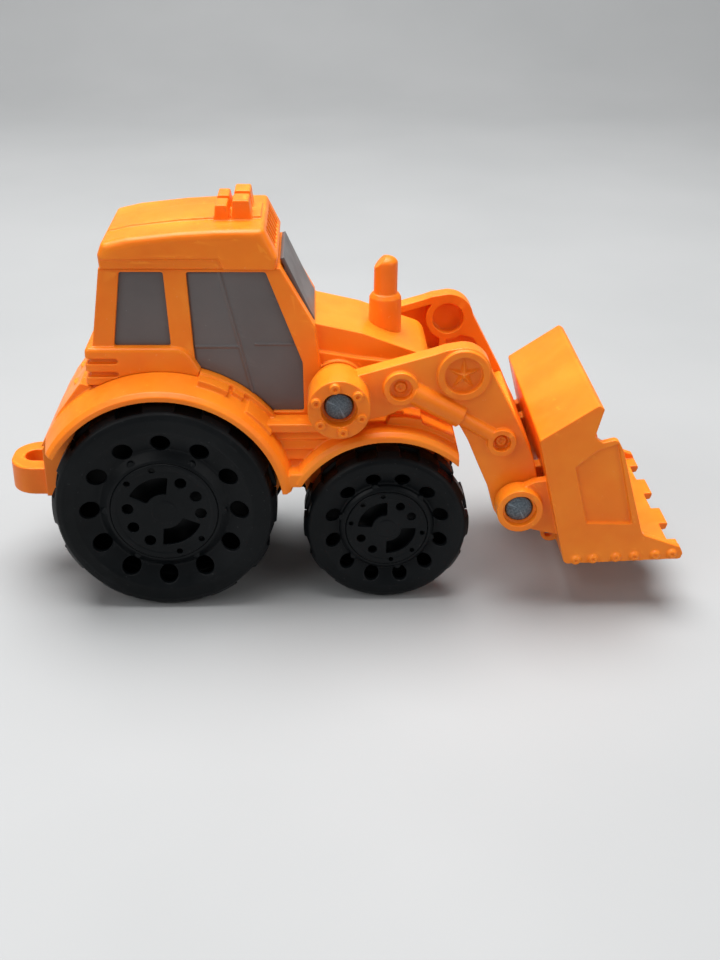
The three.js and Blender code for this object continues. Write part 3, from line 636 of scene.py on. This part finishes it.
def hood_side(inset):
    """Hood in the side view, pulled in by an inset."""
    return [(30, 44), (30, 65.2 - inset), (33.3, HOOD_REAR_Z - inset), (44, 62.4 - inset, 8),
            (53.5, 58.9 - inset, 6), (58.9 - inset, 57 - inset, 3), (HOOD_FRONT_X - inset, 51),
            (HOOD_FRONT_X - inset, 44)]


def shoulder_side():
    """Step along the foot of the hood in the side view."""
    return [(32, 44), (32, 59), (43.6, 57), (53, 55.9), (57.6, 55), (58.6, 50), (58.6, 44)]


def rounded_front(half, front, radius):
    """A block whose two upright front corners are rounded."""
    return plan([(20, -half), (front, -half, radius), (front, half, radius), (20, half)], 30, 80)


def belt_side(inset):
    """Belt below the rear windows in the side view, pulled in by an inset at its top and ends."""
    return outline([(-16.4 + inset, 44), (-16 + inset, BELT_TOP_Z - inset, 1),
                    (5.6 - inset * 0.5, BELT_TOP_Z - inset, 4.5), (10 - inset, 53.2 - inset * 0.4),
                    (10 - inset, 44)])


def upper_body():
    """Cab frame, grooved belt and hood, hollow from below, with window openings and the pivot's bore."""
    belt = loft([(y, belt_side(inset)) for y, inset in across(BELT_EDGE)])
    grooves = [[slabs([(-18, z), (-9, z, 0.55), (-9, top, 0.55), (-18, top)], 13.75, 16),
                block((-18, -15.1), (-16, 16), (z, top))]
               for z, top in ((53.8, 53.8 + GROOVE), (56.8, 56.8 + GROOVE))]
    hub = rods(ARM_PIVOT, 6.1, 8, 12.9)
    hood = meet(slab(hood_side(0), -HOOD_HALF, HOOD_HALF), rounded_front(HOOD_HALF, HOOD_FRONT_X, 3.2))
    shoulder = meet(slab(shoulder_side(), -SHOULDER_HALF, SHOULDER_HALF),
                    rounded_front(SHOULDER_HALF, 58.6, 2.4))
    side_openings = [slabs(rear_window(0), 8.5, 20), slabs(door_window(0), 8.5, 20)]
    cab = cut(slab(cab_side(0), -CAB_HALF, CAB_HALF), side_openings)
    outside = join(cab, cut(belt, grooves), hood, shoulder, hub)
    cab_room = CAB_HALF - WALL
    hood_room = HOOD_HALF - WALL
    room = join(slab(cab_side(WALL), -cab_room, cab_room), slab(hood_side(WALL), -hood_room, hood_room))
    rear_drum = rod(REAR_AXLE, REAR_CROWN + SEAM, -26, 26, 128)
    below = [block((-40, 12), (-30, 30), (30, 51.9)), block((10, 35.2), (-30, 30), (30, SILL_Z + SEAM)),
             block((35, 80), (-30, 30), (30, DECK_Z + SEAM))]
    rear_step = meet(rod(REAR_AXLE, FLANGE + SEAM, -16, 16, 128), sector(REAR_AXLE, 30, 74.15, 17))
    openings = [along(WINDSCREEN_TOP, WINDSCREEN_FOOT, 0.08, 0.97, -6, 6, 9.8),
                along(REAR_GLASS_TOP, REAR_GLASS_FOOT, 0.12, 0.92, -6, 6, 9)]
    holes = [rod(ARM_PIVOT, PIN_RADIUS + PIN_CLEARANCE, -20, 20), post(STACK, 50, 70, 2.3)]
    return cut(outside, room, rear_drum, below, rear_step, openings, holes)


# Window insert: one grey moulding inside the cab, with raised panes that fill the openings

def door_seams():
    """Fine raised lines of the door, on both side panes."""
    runs = [((13.4, WINDOW_TOP_Z), (20.2, 47.6), 0.75), ((7.6, 60.1), (17.1, 60.1), 0.75),
            ((20.6, 60.6), (30.6, 60.6), 0.9)]
    return [lying_rod(start, end, 0.3, side * (CAB_HALF - depth), 12)
            for start, end, depth in runs for side in (-1, 1)]


def window_insert():
    """Hollow lining of the cab whose panes stand out through the openings."""
    skin = WALL + GAP
    half = CAB_HALF - skin
    outer = slab(cab_side(skin), -half, half)
    panes = [slabs(rear_window(0.2, 0.3), 9, CAB_HALF - 0.9), slabs(door_window(0.2, 0.3), 9, CAB_HALF - 0.9),
             along(WINDSCREEN_TOP, WINDSCREEN_FOOT, 0.09, 0.96, -3.4, 0.3, 9.7),
             along((27, 79.2), (33.7, 64.9), 0, 0.99, -0.9, 0, 9.8),
             along(REAR_GLASS_TOP, REAR_GLASS_FOOT, 0.11, 0.93, 3.4, 0.8, 9.2)]
    room = slab(cab_side(skin + 1.5), -half + 1.5, half - 1.5)
    drum = rod(REAR_AXLE, FLANGE, -26, 26, 128)
    below = block((-40, 60), (-30, 30), (30, SILL_Z))
    raised = slabs([(6, 78), (13.4, 78), (20.6, 46), (6, 46)], CAB_HALF - 1.2, CAB_HALF - 0.75)
    step = [meet(side, tool) for side, tool in zip(slabs(door_window(-GAP, 0.3), 9, CAB_HALF), raised)]
    return cut(join(outer, panes, step, door_seams()), room, drum, below)


# Roof with its raised strip and four lamps

ROOF_EDGE = [(13, 0), (13.7, 0.08), (14.2, 0.25), (14.6, 0.55), (14.8, 0.95), (14.9, 1.5)]
STRIP_HALF = 5.8
ROOF_ROOM_HALF = 13


def lamp(x0, x1, y0, y1, foot, top, taper):
    """A square lamp that narrows to its top, on both sides."""
    narrow = [(x0 + taper, foot), (x0 + taper * 1.6, top, 0.4), (x1 - taper * 1.6, top, 0.4), (x1, foot)]
    return slabs([(x0, foot - 3)] + narrow + [(x1, foot - 3)], y0, y1)


def roof_side(inset):
    """Roof in the side view, pulled in by an inset at its top and ends."""
    return outline([(-11.5 + inset * 1.3, 77.9), (-11.7 + inset * 1.3, 80.7),
                    (-10.7 + inset * 1.4, 83.3 - inset, 1), (-5.5 + inset, 84.5 - inset, 6),
                    (5, 85.7 - inset, 20), (13, 86.2 - inset),
                    (22.9 - inset, 86.4 - inset, 1), (25.9 - inset * 0.7, 80.2), (25.6 - inset * 0.7, 77.9)])


def roof():
    """Roof cap, hollow from below, with a ridged recess in its front slope."""
    top = loft([(y, roof_side(inset)) for y, inset in across(ROOF_EDGE)])
    strip = slab([(-10.4, 80), (-10.3, 83.8), (-5.3, 84.95, 6), (5, 86.2, 20), (13, 86.7), (22.2, 86.9),
                  (23, 80)], -STRIP_HALF, STRIP_HALF)
    lamps = [lamp(12, 15.8, 1.1, 7.1, 86, 89.5, 0.4), lamp(15.7, 20.4, 1.1, 7.1, 86, 90.5, 0.4)]
    room = slab([(-10, 70), (-9.8, 81.6), (-4.9, 83), (5, 84), (13, 84.5), (21.4, 84.6), (24, 79.5),
                 (24, 70)], -ROOF_ROOM_HALF, ROOF_ROOM_HALF)
    band = slabs([(-13, 77), (-13, 80), (13.4, 80.2), (14.4, 78.2), (14.4, 77)], 14.4, 16)
    visor = along((22.9, 86.4), (25.9, 80.2), 0.2, 0.85, 0.45, -2, 10.5)
    ridges = [block((20, 26), (y - 0.35, y + 0.35), (80.4, 85.6)) for y in range(-9, 10, 3)]
    return join(cut(join(top, strip, lamps), room, band, cut(visor, ridges)))


def exhaust_stack():
    """Sleeve and round-topped pipe, cut on a slant at the rear of the top."""
    sleeve = join(post(STACK, 54, 67.1, 3.8, 3.6), post(STACK, 67.1, 68, 3.6, 3))
    angles = [math.pi / 2 * k / 8 for k in range(8)]
    crown = [(2.62 * math.cos(a), 74.9 + 1.6 * math.sin(a)) for a in angles]
    pipe = turned([(0, 60), (2.68, 60)] + crown + [(0, 76.5)], STACK, 64, upright=True)
    slant = slab([(42.8, 69.6), (49.3, 76.5), (49.3, 80), (40, 80)], -5, 5)
    seat = slab(hood_side(0.6), -20, 20)
    return join(cut(join(sleeve, pipe), slant, seat), post(STACK, 56.5, 62, 2))


# Loader arms and their brace

RAM_ENDS = [(52, 53.3), (74.6, 40.4)]
KNOBS = 6
KNOB_RING = 5.15


def arm_edge():
    """Bent arm in the side view, round its elbow and the bucket's pin."""
    x, z = ARM_PIVOT
    return ([(x, z + 6), (41.4, 55.6), (59.4, 60.9, 4), (61.6, 61.7, 2)] + arc(ELBOW, 6.1, 95, 8, 16)
            + [(79.2, 42.7, 12), (82.1, 36.2, 8)] + arc(BUCKET_PIVOT, 5.6, 18, -170, 24)
            + [(72.2, 29.2), (69.6, 35), (67.2, 40.6), (65.1, 44.3, 2), (61.6, 46.4), (54.6, 49.1, 6),
               (49, 46.5), (41, 44.4), (x, z - 6)])


def arm_pocket():
    """Hollow of the arm's inner face, between the hub and the elbow."""
    return [(47.2, 55.4), (47.2, 48.8), (54.8, 50.7), (62, 47.9), (63.6, 47.3), (63.6, 60.4), (59.5, 59.2)]


def leg_pocket():
    """Hollow of the arm's inner face, below the elbow."""
    return [(65.2, 46.6), (69.4, 40.6), (73.2, 32.2), (80, 33), (77.3, 41.5), (71.9, 51.2, 1), (65.2, 53)]


def star(centre, reach, waist, base, crown):
    """A five-pointed star with faceted arms, rising from y = base to y = crown."""
    rim = []
    for k in range(10):
        a = math.radians(90 + 36 * k)
        r = waist if k % 2 else reach
        rim.append((centre[0] + r * math.cos(a), base, centre[1] + r * math.sin(a)))
    inner = (centre[0], base + 1, centre[1])
    points = rim + [(centre[0], crown, centre[1]), inner]
    faces = [(k, (k + 1) % 10, 10) for k in range(10)] + [((k + 1) % 10, k, 11) for k in range(10)]
    return solid(points, faces)


def arm_right():
    """Arm plate with its hub, elbow ring with a star, and the moulded shape of a ram."""
    upper_end, lower_end = RAM_ENDS
    face = -ARM_OUTER
    floor = face + 1.8
    plate = slab(arm_edge(), -ARM_OUTER, -ARM_INNER)
    hub = join(rod(ARM_PIVOT, HUB_RADIUS, -HUB_OUTER, -17, 96), rod(ARM_PIVOT, 6, -18, -CAB_HALF - GAP, 96))
    rings = [rod(ELBOW, 5.7, face - 0.95, face + 1, 80), rod(upper_end, 3.8, face - 1.4, face + 1, 64),
             rod(lower_end, 3.2, face - 1.4, face + 1, 64)]
    ring_holes = [rod(ELBOW, 4.15, face - 2, face + 0.6, 80), rod(upper_end, 2.5, face - 3, face + 0.3, 64),
                  rod(lower_end, 2, face - 3, face + 0.3, 64)]
    dimples = [rod(at, 1.2, face - 0.1, face + 1, 32) for at in RAM_ENDS]
    barrel = lying_rod((54.6, 52.2), (65.4, 46.2), 2.6, face + 0.5, 64)
    piston = lying_rod((64, 47), (73, 41.6), 1.7, face + 0.2, 48)
    knobs, pits = [], []
    for k in range(KNOBS):
        a = math.radians(-20 + 360 / KNOBS * k)
        at = (ARM_PIVOT[0] + KNOB_RING * math.cos(a), ARM_PIVOT[1] + KNOB_RING * math.sin(a))
        knobs.append(rod(at, 1.1, -HUB_OUTER - 0.8, -HUB_OUTER + 1, 32))
        pits.append(rod(at, 0.42, -HUB_OUTER - 1, -HUB_OUTER - 0.35, 16))
    pits += [rod(at, 0.6, face - 2, face + 0.25, 24) for at in RAM_ENDS]
    body = cut(join(plate, rings, barrel, piston), ring_holes, block((30, 90), (-ARM_INNER, 0), (20, 70)))
    ring_wall = rod(ELBOW, 5.3, -30, 1, 80)
    pockets = [cut(slab(arm_pocket(), floor, 0), ring_wall), cut(slab(leg_pocket(), floor, 0), ring_wall),
               rod(ELBOW, 3.75, floor, 0, 80)]
    emblem = star(ELBOW, 3.95, 1.3, face + 0.7, face - 0.95)
    bores = [rod(ARM_PIVOT, PIN_RADIUS + PIN_CLEARANCE, -30, 0, 64), rod(ARM_PIVOT, 3.9, -30, -23.2, 64),
             rod(BUCKET_PIVOT, PIN_RADIUS + PIN_CLEARANCE, -30, 0, 64), socket(-1)]
    return cut(join(cut(body, pockets), emblem, dimples, hub, knobs), bores, pits)


PEG = (78, 39)


def socket(side):
    """The hole for the brace's peg in one arm."""
    return rod(PEG, 1.5, 15 if side > 0 else -17, 17 if side > 0 else -15, 32)


def cross_brace():
    """Plate between the arms with an apron behind the bucket and a peg at each end."""
    inside = ARM_INNER - GAP
    plate = slab([(78.9, 43, 0.6), (82.2, 36.6), (83, 33.8, 0.6), (81, 33), (80, 36), (76.4, 42.2)],
                 -inside, inside)
    apron = slab([(82.3, 36.2), (85.1, 27.4, 0.6), (83.3, 26.8), (80.8, 34)], -11.2, 11.2)
    return join(plate, rod(PEG, 2.4, -inside, inside), rod(PEG, 1.2, -16.7, 16.7), apron)


# Bucket

STUDS = (92.8, 96.7, 101.9, 106.1, 110.9, 114.7)
STUD_Z = 12.7
STUD_SLOPE = 0.07
STUD_RISE = 0.9
TOOTH_GAP_XS = (115.1, 120)


def bucket_side():
    """Bucket in the side view, with the notch in its front edge."""
    return [(82.2, 42.8, 0.5), (90.2, 11.6, 1.2), (116.9, 12.8, 0.5), (117.3, 14.2, 0.4), (116.5, 15.9, 0.5),
            (107.4, 19.2, 2), (100.9, 40.2), (99.3, 43.1, 1.3), (96, 42.2, 0.8), (94.2, 43.6, 0.8),
            (95.7, 50.3, 0.6), (94.4, 51.2, 0.5)]


def bucket_back(z):
    """Where the bucket's straight back is at some height."""
    return 82.2 + (42.8 - z) * 0.2564


def ear_side():
    """Ear on the bucket's back, round its pin, in the side view."""
    return ([(bucket_back(32) + 0.6, 32), (82.5, 31.6)] + arc(BUCKET_PIVOT, 5.1, 80, 280)
            + [(83, 19.4), (bucket_back(18) + 0.6, 18)])


def stud_place(x):
    """A stud's place on the bucket's side, just above the sloping floor."""
    return (x, STUD_Z + (x - STUDS[0]) * STUD_SLOPE)


def bucket():
    """Open scoop with a toothed lip, recessed sides, studs, four ears and two small lugs."""
    room = slab([(84.27, 41.95), (125, 66.1), (125, 15.3), (91.8, 12.9, 1.5)], -22.9, 22.9)
    shell = cut(slab(bucket_side(), -BUCKET_HALF, BUCKET_HALF), room)
    gaps = [blocks(TOOTH_GAP_XS, (11.3, 18.7), (8, 20)), block(TOOTH_GAP_XS, (-3.8, 3.8), (8, 20))]
    panel = [(90.6, 36.2), (95.2, 40.4), (99.6, 42), (104.8, 22), (94.4, 22.2)]
    recesses = slabs(panel, BUCKET_HALF - 0.85, 26)
    studs = []
    for x in STUDS:
        studs += [domed(stud_place(x), 1.2, side * BUCKET_HALF, side * (BUCKET_HALF + STUD_RISE))
                  for side in (-1, 1)]
    ears = [slabs(ear_side(), ARM_OUTER + 0.4, 22.6), slabs(ear_side(), 11.6, 15)]
    rings = rods(BUCKET_PIVOT, 5.15, ARM_OUTER + 0.4, 24.9, 96)
    lugs = rods((88.4, 14.6), 2.3, 13.6, 15.4)
    bores = [rods(BUCKET_PIVOT, PIN_RADIUS + PIN_CLEARANCE, 13.2, 26, 64),
             rods(BUCKET_PIVOT, 3.75, 23.2, 26, 64), rods((88, 14.4), 0.9, 13, 16, 32)]
    bores += [rods(stud_place(x), 0.4, BUCKET_HALF + 0.45, 27, 16) for x in STUDS]
    return cut(join(cut(shell, gaps, recesses), studs, ears, rings, lugs), bores)


# Base plate, screws, pins and axles

PLATE = 1.5
SCREW_SEAT = -GAP - 0.6


def base_plate():
    """Cover of the belly with a saddle for each axle and sunk holes for the screws."""
    tail = TAIL_X + 2.5
    top = belly_line(-GAP, tail, NOSE_X - 0.5)
    bottom = belly_line(-GAP - PLATE, tail, NOSE_X - 0.5)[::-1]
    plate = slab(top + bottom, -CHASSIS_HALF + 0.3, CHASSIS_HALF - 0.3)
    half = AXLE_RADIUS + PIN_CLEARANCE
    saddles = [cut(block((x - 4, x + 4), (-7.6, 7.6), (floor - 1, z - 0.1)), rod((x, z), half, -9, 9))
               for (x, z), floor in ((REAR_AXLE, BELLY_REAR_Z), (FRONT_AXLE, BELLY_FRONT_Z))]
    ribs = [block((x - 0.5, x + 0.5), (-7, 7), (BELLY_REAR_Z - GAP - PLATE, BELLY_REAR_Z - 1))
            for x in (-8, 8)]
    holes = [post((x, y), z - 4, z + 1, 1.5) for x, y, z in screw_places()]
    sinks = [post((x, y), z - 4, z + SCREW_SEAT, 2.6) for x, y, z in screw_places()]
    return cut(join(plate, saddles, ribs), holes, sinks)


def base_screw(x, y, z):
    """A pan-head screw with a threaded shank and a cross slot."""
    profile = [(0, SCREW_SEAT - 0.82), (1.3, SCREW_SEAT - 0.8), (1.95, SCREW_SEAT - 0.68),
               (2.25, SCREW_SEAT - 0.4), (2.3, SCREW_SEAT - 0.05), (1.2, SCREW_SEAT - 0.05), (1.15, 0)]
    profile += [(0.95 + 0.2 * (k % 2), 0.4 * k) for k in range(1, 17)] + [(0.3, 7.4), (0, 7.5)]
    screw = turned(profile, (0, 0), 32, upright=True)
    cross = [block((-1.3, 1.3), (-0.3, 0.3), (-5, SCREW_SEAT - 0.35)),
             block((-0.3, 0.3), (-1.3, 1.3), (-5, SCREW_SEAT - 0.35))]
    mesh = cut(screw, join(cross))
    mesh.transform(Matrix.Translation((x, y, z)))
    return mesh


def pin(centre, radius, y0, y1, chamfer=0.3):
    """A cut steel rod with small chamfers."""
    profile = [(0, y0), (radius - chamfer, y0), (radius - 0.08, y0 + 0.1), (radius, y0 + chamfer),
               (radius, y1 - chamfer), (radius - 0.08, y1 - 0.1), (radius - chamfer, y1), (0, y1)]
    return turned(profile, centre, 96)


# Wheels: two hollow halves that meet under the tread, and a hub cap with openings

# Radii: tread, shoulder, dish, drum, cap, ring of holes and hole. Distances from the plane of symmetry: the
# inner face, the split between the halves, the outer face, the cap's face (cap_outer) and the axle's end
# (half). The dish drops below the outer face, and the ring of holes starts at an angle in degrees, turn.
REAR = {
    "at": REAR_AXLE, "tread": 24.1, "shoulder": 22.5, "dish": 19.3, "drum": 14.4, "cap": 11.7,
    "ring": 16.6, "hole": 2.1, "turn": 0,
    "inner": 11.2, "split": 17.5, "outer": 23.8, "cap_outer": 23.5, "half": 22.1, "drop": 2.1,
}
FRONT = {
    "at": FRONT_AXLE, "tread": 18.1, "shoulder": 16.8, "dish": 14.6, "drum": 10.7, "cap": 9.1,
    "ring": 12.6, "hole": 1.65, "turn": 15,
    "inner": 10.8, "split": 16, "outer": 21.2, "cap_outer": 20.8, "half": 19.4, "drop": 1.9,
}
LUGS = 12
DISH_HOLES = 12
PEGS = 6
SPOKES = 6
WHEEL_STEPS = 144


def around(wheel, radius, degrees):
    """A point of the side view at a radius and an angle about the wheel's axle."""
    a = math.radians(degrees)
    return (wheel["at"][0] + radius * math.cos(a), wheel["at"][1] + radius * math.sin(a))


def tread_lugs(wheel, near, far, turn, slope):
    """Lugs on the tread between two distances from the plane of symmetry; they slope down to the far side."""
    radius, low = wheel["at"][1], wheel["tread"] - 0.5
    ring = turned([(low - 0.6, -near), (radius, -near), (radius, -far + slope), (low + 0.5, -far + 0.1),
                   (low - 0.6, -far + 0.1)], wheel["at"], WHEEL_STEPS)
    gear = []
    for k in range(LUGS):
        middle = turn - 90 + 360 / LUGS * k
        gear += arc(wheel["at"], radius + 5, middle - 7.9, middle + 7.9, 4)
        gear += arc(wheel["at"], low, middle + 8, middle + 22, 4)
    return meet(ring, slab(gear, -30, 0))


def wheel_outer(wheel):
    """Outer half: tread with lugs, dished face with a ring of holes, and a collar round the cap."""
    near = wheel["split"] + GAP / 2
    outer, tread, dish = wheel["outer"], wheel["tread"], wheel["dish"]
    floor = outer - wheel["drop"]
    bore = AXLE_RADIUS + PIN_CLEARANCE
    cap = wheel["cap"]
    top = wheel["cap_outer"] - 0.15
    profile = [(bore, -near), (cap + 1.3, -near), (cap + 1.3, -floor + 1.6), (dish - 0.6, -outer + 1.7),
               (tread - 1.4, -outer + 1.9), (tread - 1.2, -near), (tread, -near), (tread, -outer + 0.9),
               (tread - 0.5, -outer + 0.35), (wheel["shoulder"], -outer), (dish + 0.4, -outer),
               (dish - 0.3, -outer + 0.35), (wheel["drum"] + 0.4, -floor), (wheel["drum"], -floor - 0.1),
               (cap + 1.6, -top + 0.75), (cap + 0.9, -top + 0.2), (cap + 0.25, -top),
               (cap + 0.25, -near - 1), (bore, -near - 1)]
    holes = [rod(around(wheel, wheel["ring"], wheel["turn"] + 360 / DISH_HOLES * k), wheel["hole"],
                 -outer - 1, -floor + 2.4, 40) for k in range(DISH_HOLES)]
    first_peg = 45 if wheel is FRONT else 0
    pegs = [rod(around(wheel, cap + 1.45, first_peg + 360 / PEGS * k), 0.75,
                -wheel["cap_outer"] + 0.6, -floor + 0.6, 24) for k in range(PEGS)]
    return join(cut(turned(profile, wheel["at"], WHEEL_STEPS), holes), pegs,
                tread_lugs(wheel, near, outer - 0.8, 0, 1.3))


def wheel_inner(wheel):
    """Inner half: tread with lugs set between the outer ones, and a recessed face with spokes."""
    near = wheel["split"] - GAP / 2
    inner, tread = wheel["inner"], wheel["tread"]
    bore = AXLE_RADIUS + PIN_CLEARANCE
    shoulder = wheel["shoulder"]
    profile = [(bore, -inner - 4), (bore, -inner), (shoulder, -inner), (tread, -inner - 1), (tread, -near),
               (tread - 1.2, -near), (tread - 1.4, -inner - 1.5), (bore + 2, -inner - 1.5)]
    recess = turned([(bore + 3, -inner + 1), (shoulder - 3, -inner + 1), (shoulder - 3.4, -inner - 0.7),
                     (bore + 3.4, -inner - 0.7)], wheel["at"], WHEEL_STEPS)
    spokes = []
    for k in range(SPOKES):
        spoke = block((bore + 2, shoulder - 2), (-inner - 0.9, -inner), (-0.6, 0.6))
        spoke.transform(Matrix.Translation((wheel["at"][0], 0, wheel["at"][1]))
                        @ Matrix.Rotation(math.radians(360 / SPOKES * k), 4, "Y"))
        spokes.append(spoke)
    return join(cut(turned(profile, wheel["at"], WHEEL_STEPS), recess), spokes,
                tread_lugs(wheel, inner + 0.8, near, 15, 0.2))


def kidney(wheel, inner, outer, start, end):
    """A curved opening between two radii and two angles."""
    return slab(arc(wheel["at"], outer, start, end) + arc(wheel["at"], inner, end, start), -30, 0)


def hub_cap(wheel):
    """Thin disc with a raised rim and centre, two curved openings and rings of holes."""
    cap, face = wheel["cap"] + 0.2, wheel["cap_outer"]
    rim = [(0, -face + 0.15), (cap - 1.6, -face + 0.15), (cap - 1.2, -face), (cap - 0.2, -face),
           (cap, -face + 0.2), (cap, -face + 1), (0, -face + 1)]
    disc = turned(rim, wheel["at"], 128)
    centre = rod(wheel["at"], cap * 0.23, -face, -face + 1, 48)
    spans = [(90, 175), (-90, 0)] if wheel is FRONT else [(82, 152), (-95, -22)]
    kidneys = [kidney(wheel, cap * 0.36, cap * 0.71, start, end) for start, end in spans]
    turns = [62, 29, 204, 240] if wheel is FRONT else [61, 28, -3, 175, 209, 244]
    holes = [rod(around(wheel, cap * 0.68, degrees), cap * 0.108, -30, 0, 32) for degrees in turns]
    dots = [97, 132, 170, -8, -44, -82] if wheel is FRONT else [138, 102, -41, -74]
    small = [rod(around(wheel, cap * 0.885, degrees), cap * 0.058, -30, 0, 20) for degrees in dots]
    return cut(join(disc, centre), kidneys, holes, small)


# Making the pieces

def make_body():
    mouldings = [
        ("lower_body", lower_body, 0.18, 3, 0.25, "orange_plastic", ORANGE),
        ("upper_body", upper_body, 0.18, 3, 0.25, "orange_plastic", ORANGE),
        ("window_insert", window_insert, 0.17, 2, 0.25, "grey_plastic", GLAZING),
        ("roof", roof, 0.17, 4, 0.4, "orange_plastic", ORANGE),
        ("exhaust_stack", exhaust_stack, 0.14, 4, 0.5, "orange_plastic", ORANGE),
        ("base_plate", base_plate, 0.25, 2, 0.3, "black_plastic", BLACK),
    ]
    for name, shape, voxel, soften, keep, slot, material in mouldings:
        piece(f"{name}_skin", moulded(shape(), voxel, soften, keep), "chassis", [name], material)
    for k, place in enumerate(screw_places(), 1):
        piece(f"base_screw_{k}_skin", base_screw(*place), "chassis", [f"base_screw_{k}"],
              SCREW)


def make_loader():
    piece("arm_pivot_shaft_skin", pin(ARM_PIVOT, PIN_RADIUS, -23.9, 23.9), "chassis", ["arm_pivot_shaft"],
          STEEL)
    pair("loader_arm", moulded(arm_right(), 0.15, 3, 0.35), "arm", ORANGE)
    piece("arm_cross_brace_skin", moulded(cross_brace(), 0.2, 4, 0.4), "arm", ["arm_cross_brace"],
          ORANGE)
    piece("bucket_skin", moulded(bucket(), 0.18, 3, 0.3), "scoop", ["bucket"], ORANGE)
    pair("bucket_pin", pin(BUCKET_PIVOT, PIN_RADIUS, -23.4, -13.5), "scoop", STEEL)


def make_wheels(name, wheel):
    body = f"{name}_wheels"
    piece(f"{name}_axle_skin", pin(wheel["at"], AXLE_RADIUS, -wheel["half"], wheel["half"]), body,
          [f"{name}_axle"], STEEL)
    mouldings = [("wheel_outer", wheel_outer, 0.16, 0.3), ("wheel_inner", wheel_inner, 0.22, 0.3),
                 ("hub_cap", hub_cap, 0.12, 0.4)]
    for part, shape, voxel, keep in mouldings:
        pair(f"{name}_{part}", moulded(shape(wheel), voxel, 3, keep), body, BLACK)


# Floor, light and camera

FLOOR_HALF = 1.6
FLOOR_FLAT_Y = 0.55
FLOOR_CURVE = 0.35
FLOOR_STEPS = 16


def floor():
    """A pale floor that curves up into a wall behind the machine; sizes in metres."""
    size = FLOOR_HALF
    mesh = bpy.data.meshes.new("floor")
    angles = [math.pi / 2 * k / FLOOR_STEPS for k in range(1, FLOOR_STEPS + 1)]
    profile = [(-size, 0), (FLOOR_FLAT_Y, 0)]
    profile += [(FLOOR_FLAT_Y + FLOOR_CURVE * math.sin(a), FLOOR_CURVE - FLOOR_CURVE * math.cos(a))
                for a in angles]
    profile += [(FLOOR_FLAT_Y + FLOOR_CURVE, size)]
    points = [(side * size, y, z) for y, z in profile for side in (-1, 1)]
    faces = [(2 * k, 2 * k + 1, 2 * k + 3, 2 * k + 2) for k in range(len(profile) - 1)]
    mesh.from_pydata(points, [], faces)
    mesh.shade_smooth()
    material, nodes, links = new_material("pale_floor", (0.75, 0.76, 0.76))
    shader = nodes["Principled BSDF"]
    tint = ramp(nodes, links, noise(nodes, links, 9, 3),
                [(0.3, (0.345, 0.350, 0.352)), (0.7, (0.372, 0.376, 0.378))])
    links.new(tint, shader.inputs["Base Color"])
    shader.inputs["Roughness"].default_value = 0.6
    mesh.materials.append(material)
    thing = bpy.data.objects.new("floor", mesh)
    bpy.context.scene.collection.objects.link(thing)


def lamp_light(name, place, target, size, power):
    """A round soft light aimed at a target; places and size in metres, power in watts."""
    light = bpy.data.lights.new(name, "AREA")
    light.shape = "DISK"
    light.size = size
    light.energy = power
    thing = bpy.data.objects.new(name, light)
    thing.location = place
    thing.rotation_euler = (Vector(target) - Vector(place)).to_track_quat("-Z", "Y").to_euler()
    bpy.context.scene.collection.objects.link(thing)


def lights():
    lamp_light("overhead", (-0.05, 0.12, 0.75), (0, 0.02, 0.03), size=0.7, power=12)
    lamp_light("left_front", (-0.6, -0.55, 0.55), (0, 0, 0.04), size=0.6, power=2.4)
    lamp_light("right_front", (0.7, -0.5, 0.4), (0, 0, 0.04), size=0.6, power=1.7)
    world = bpy.data.worlds.new("soft_sky")
    world.use_nodes = True
    world.node_tree.nodes["Background"].inputs["Color"].default_value = (0.86, 0.9, 0.94, 1)
    world.node_tree.nodes["Background"].inputs["Strength"].default_value = 0.19
    bpy.context.scene.world = world


def camera():
    """Above the right side of the machine, looking down at it."""
    pitch, yaw, roll = (math.radians(degrees) for degrees in (27.5, 2.38, 0.83))
    place = Vector((-0.00645, -0.265, 0.1587))
    forward = Vector((math.sin(yaw) * math.cos(pitch), math.cos(yaw) * math.cos(pitch), -math.sin(pitch)))
    data = bpy.data.cameras.new("camera")
    data.lens = 46.43
    data.clip_start = 0.01
    thing = bpy.data.objects.new("camera", data)
    turn = forward.to_track_quat("-Z", "Y").to_matrix() @ Matrix.Rotation(roll, 3, "Z")
    thing.matrix_world = Matrix.Translation(place) @ turn.to_4x4()
    bpy.context.scene.collection.objects.link(thing)
    bpy.context.scene.camera = thing


make_body()
make_loader()
make_wheels("rear", REAR)
make_wheels("front", FRONT)
floor()
lights()
camera()
bpy.context.scene.view_settings.view_transform = "Standard"
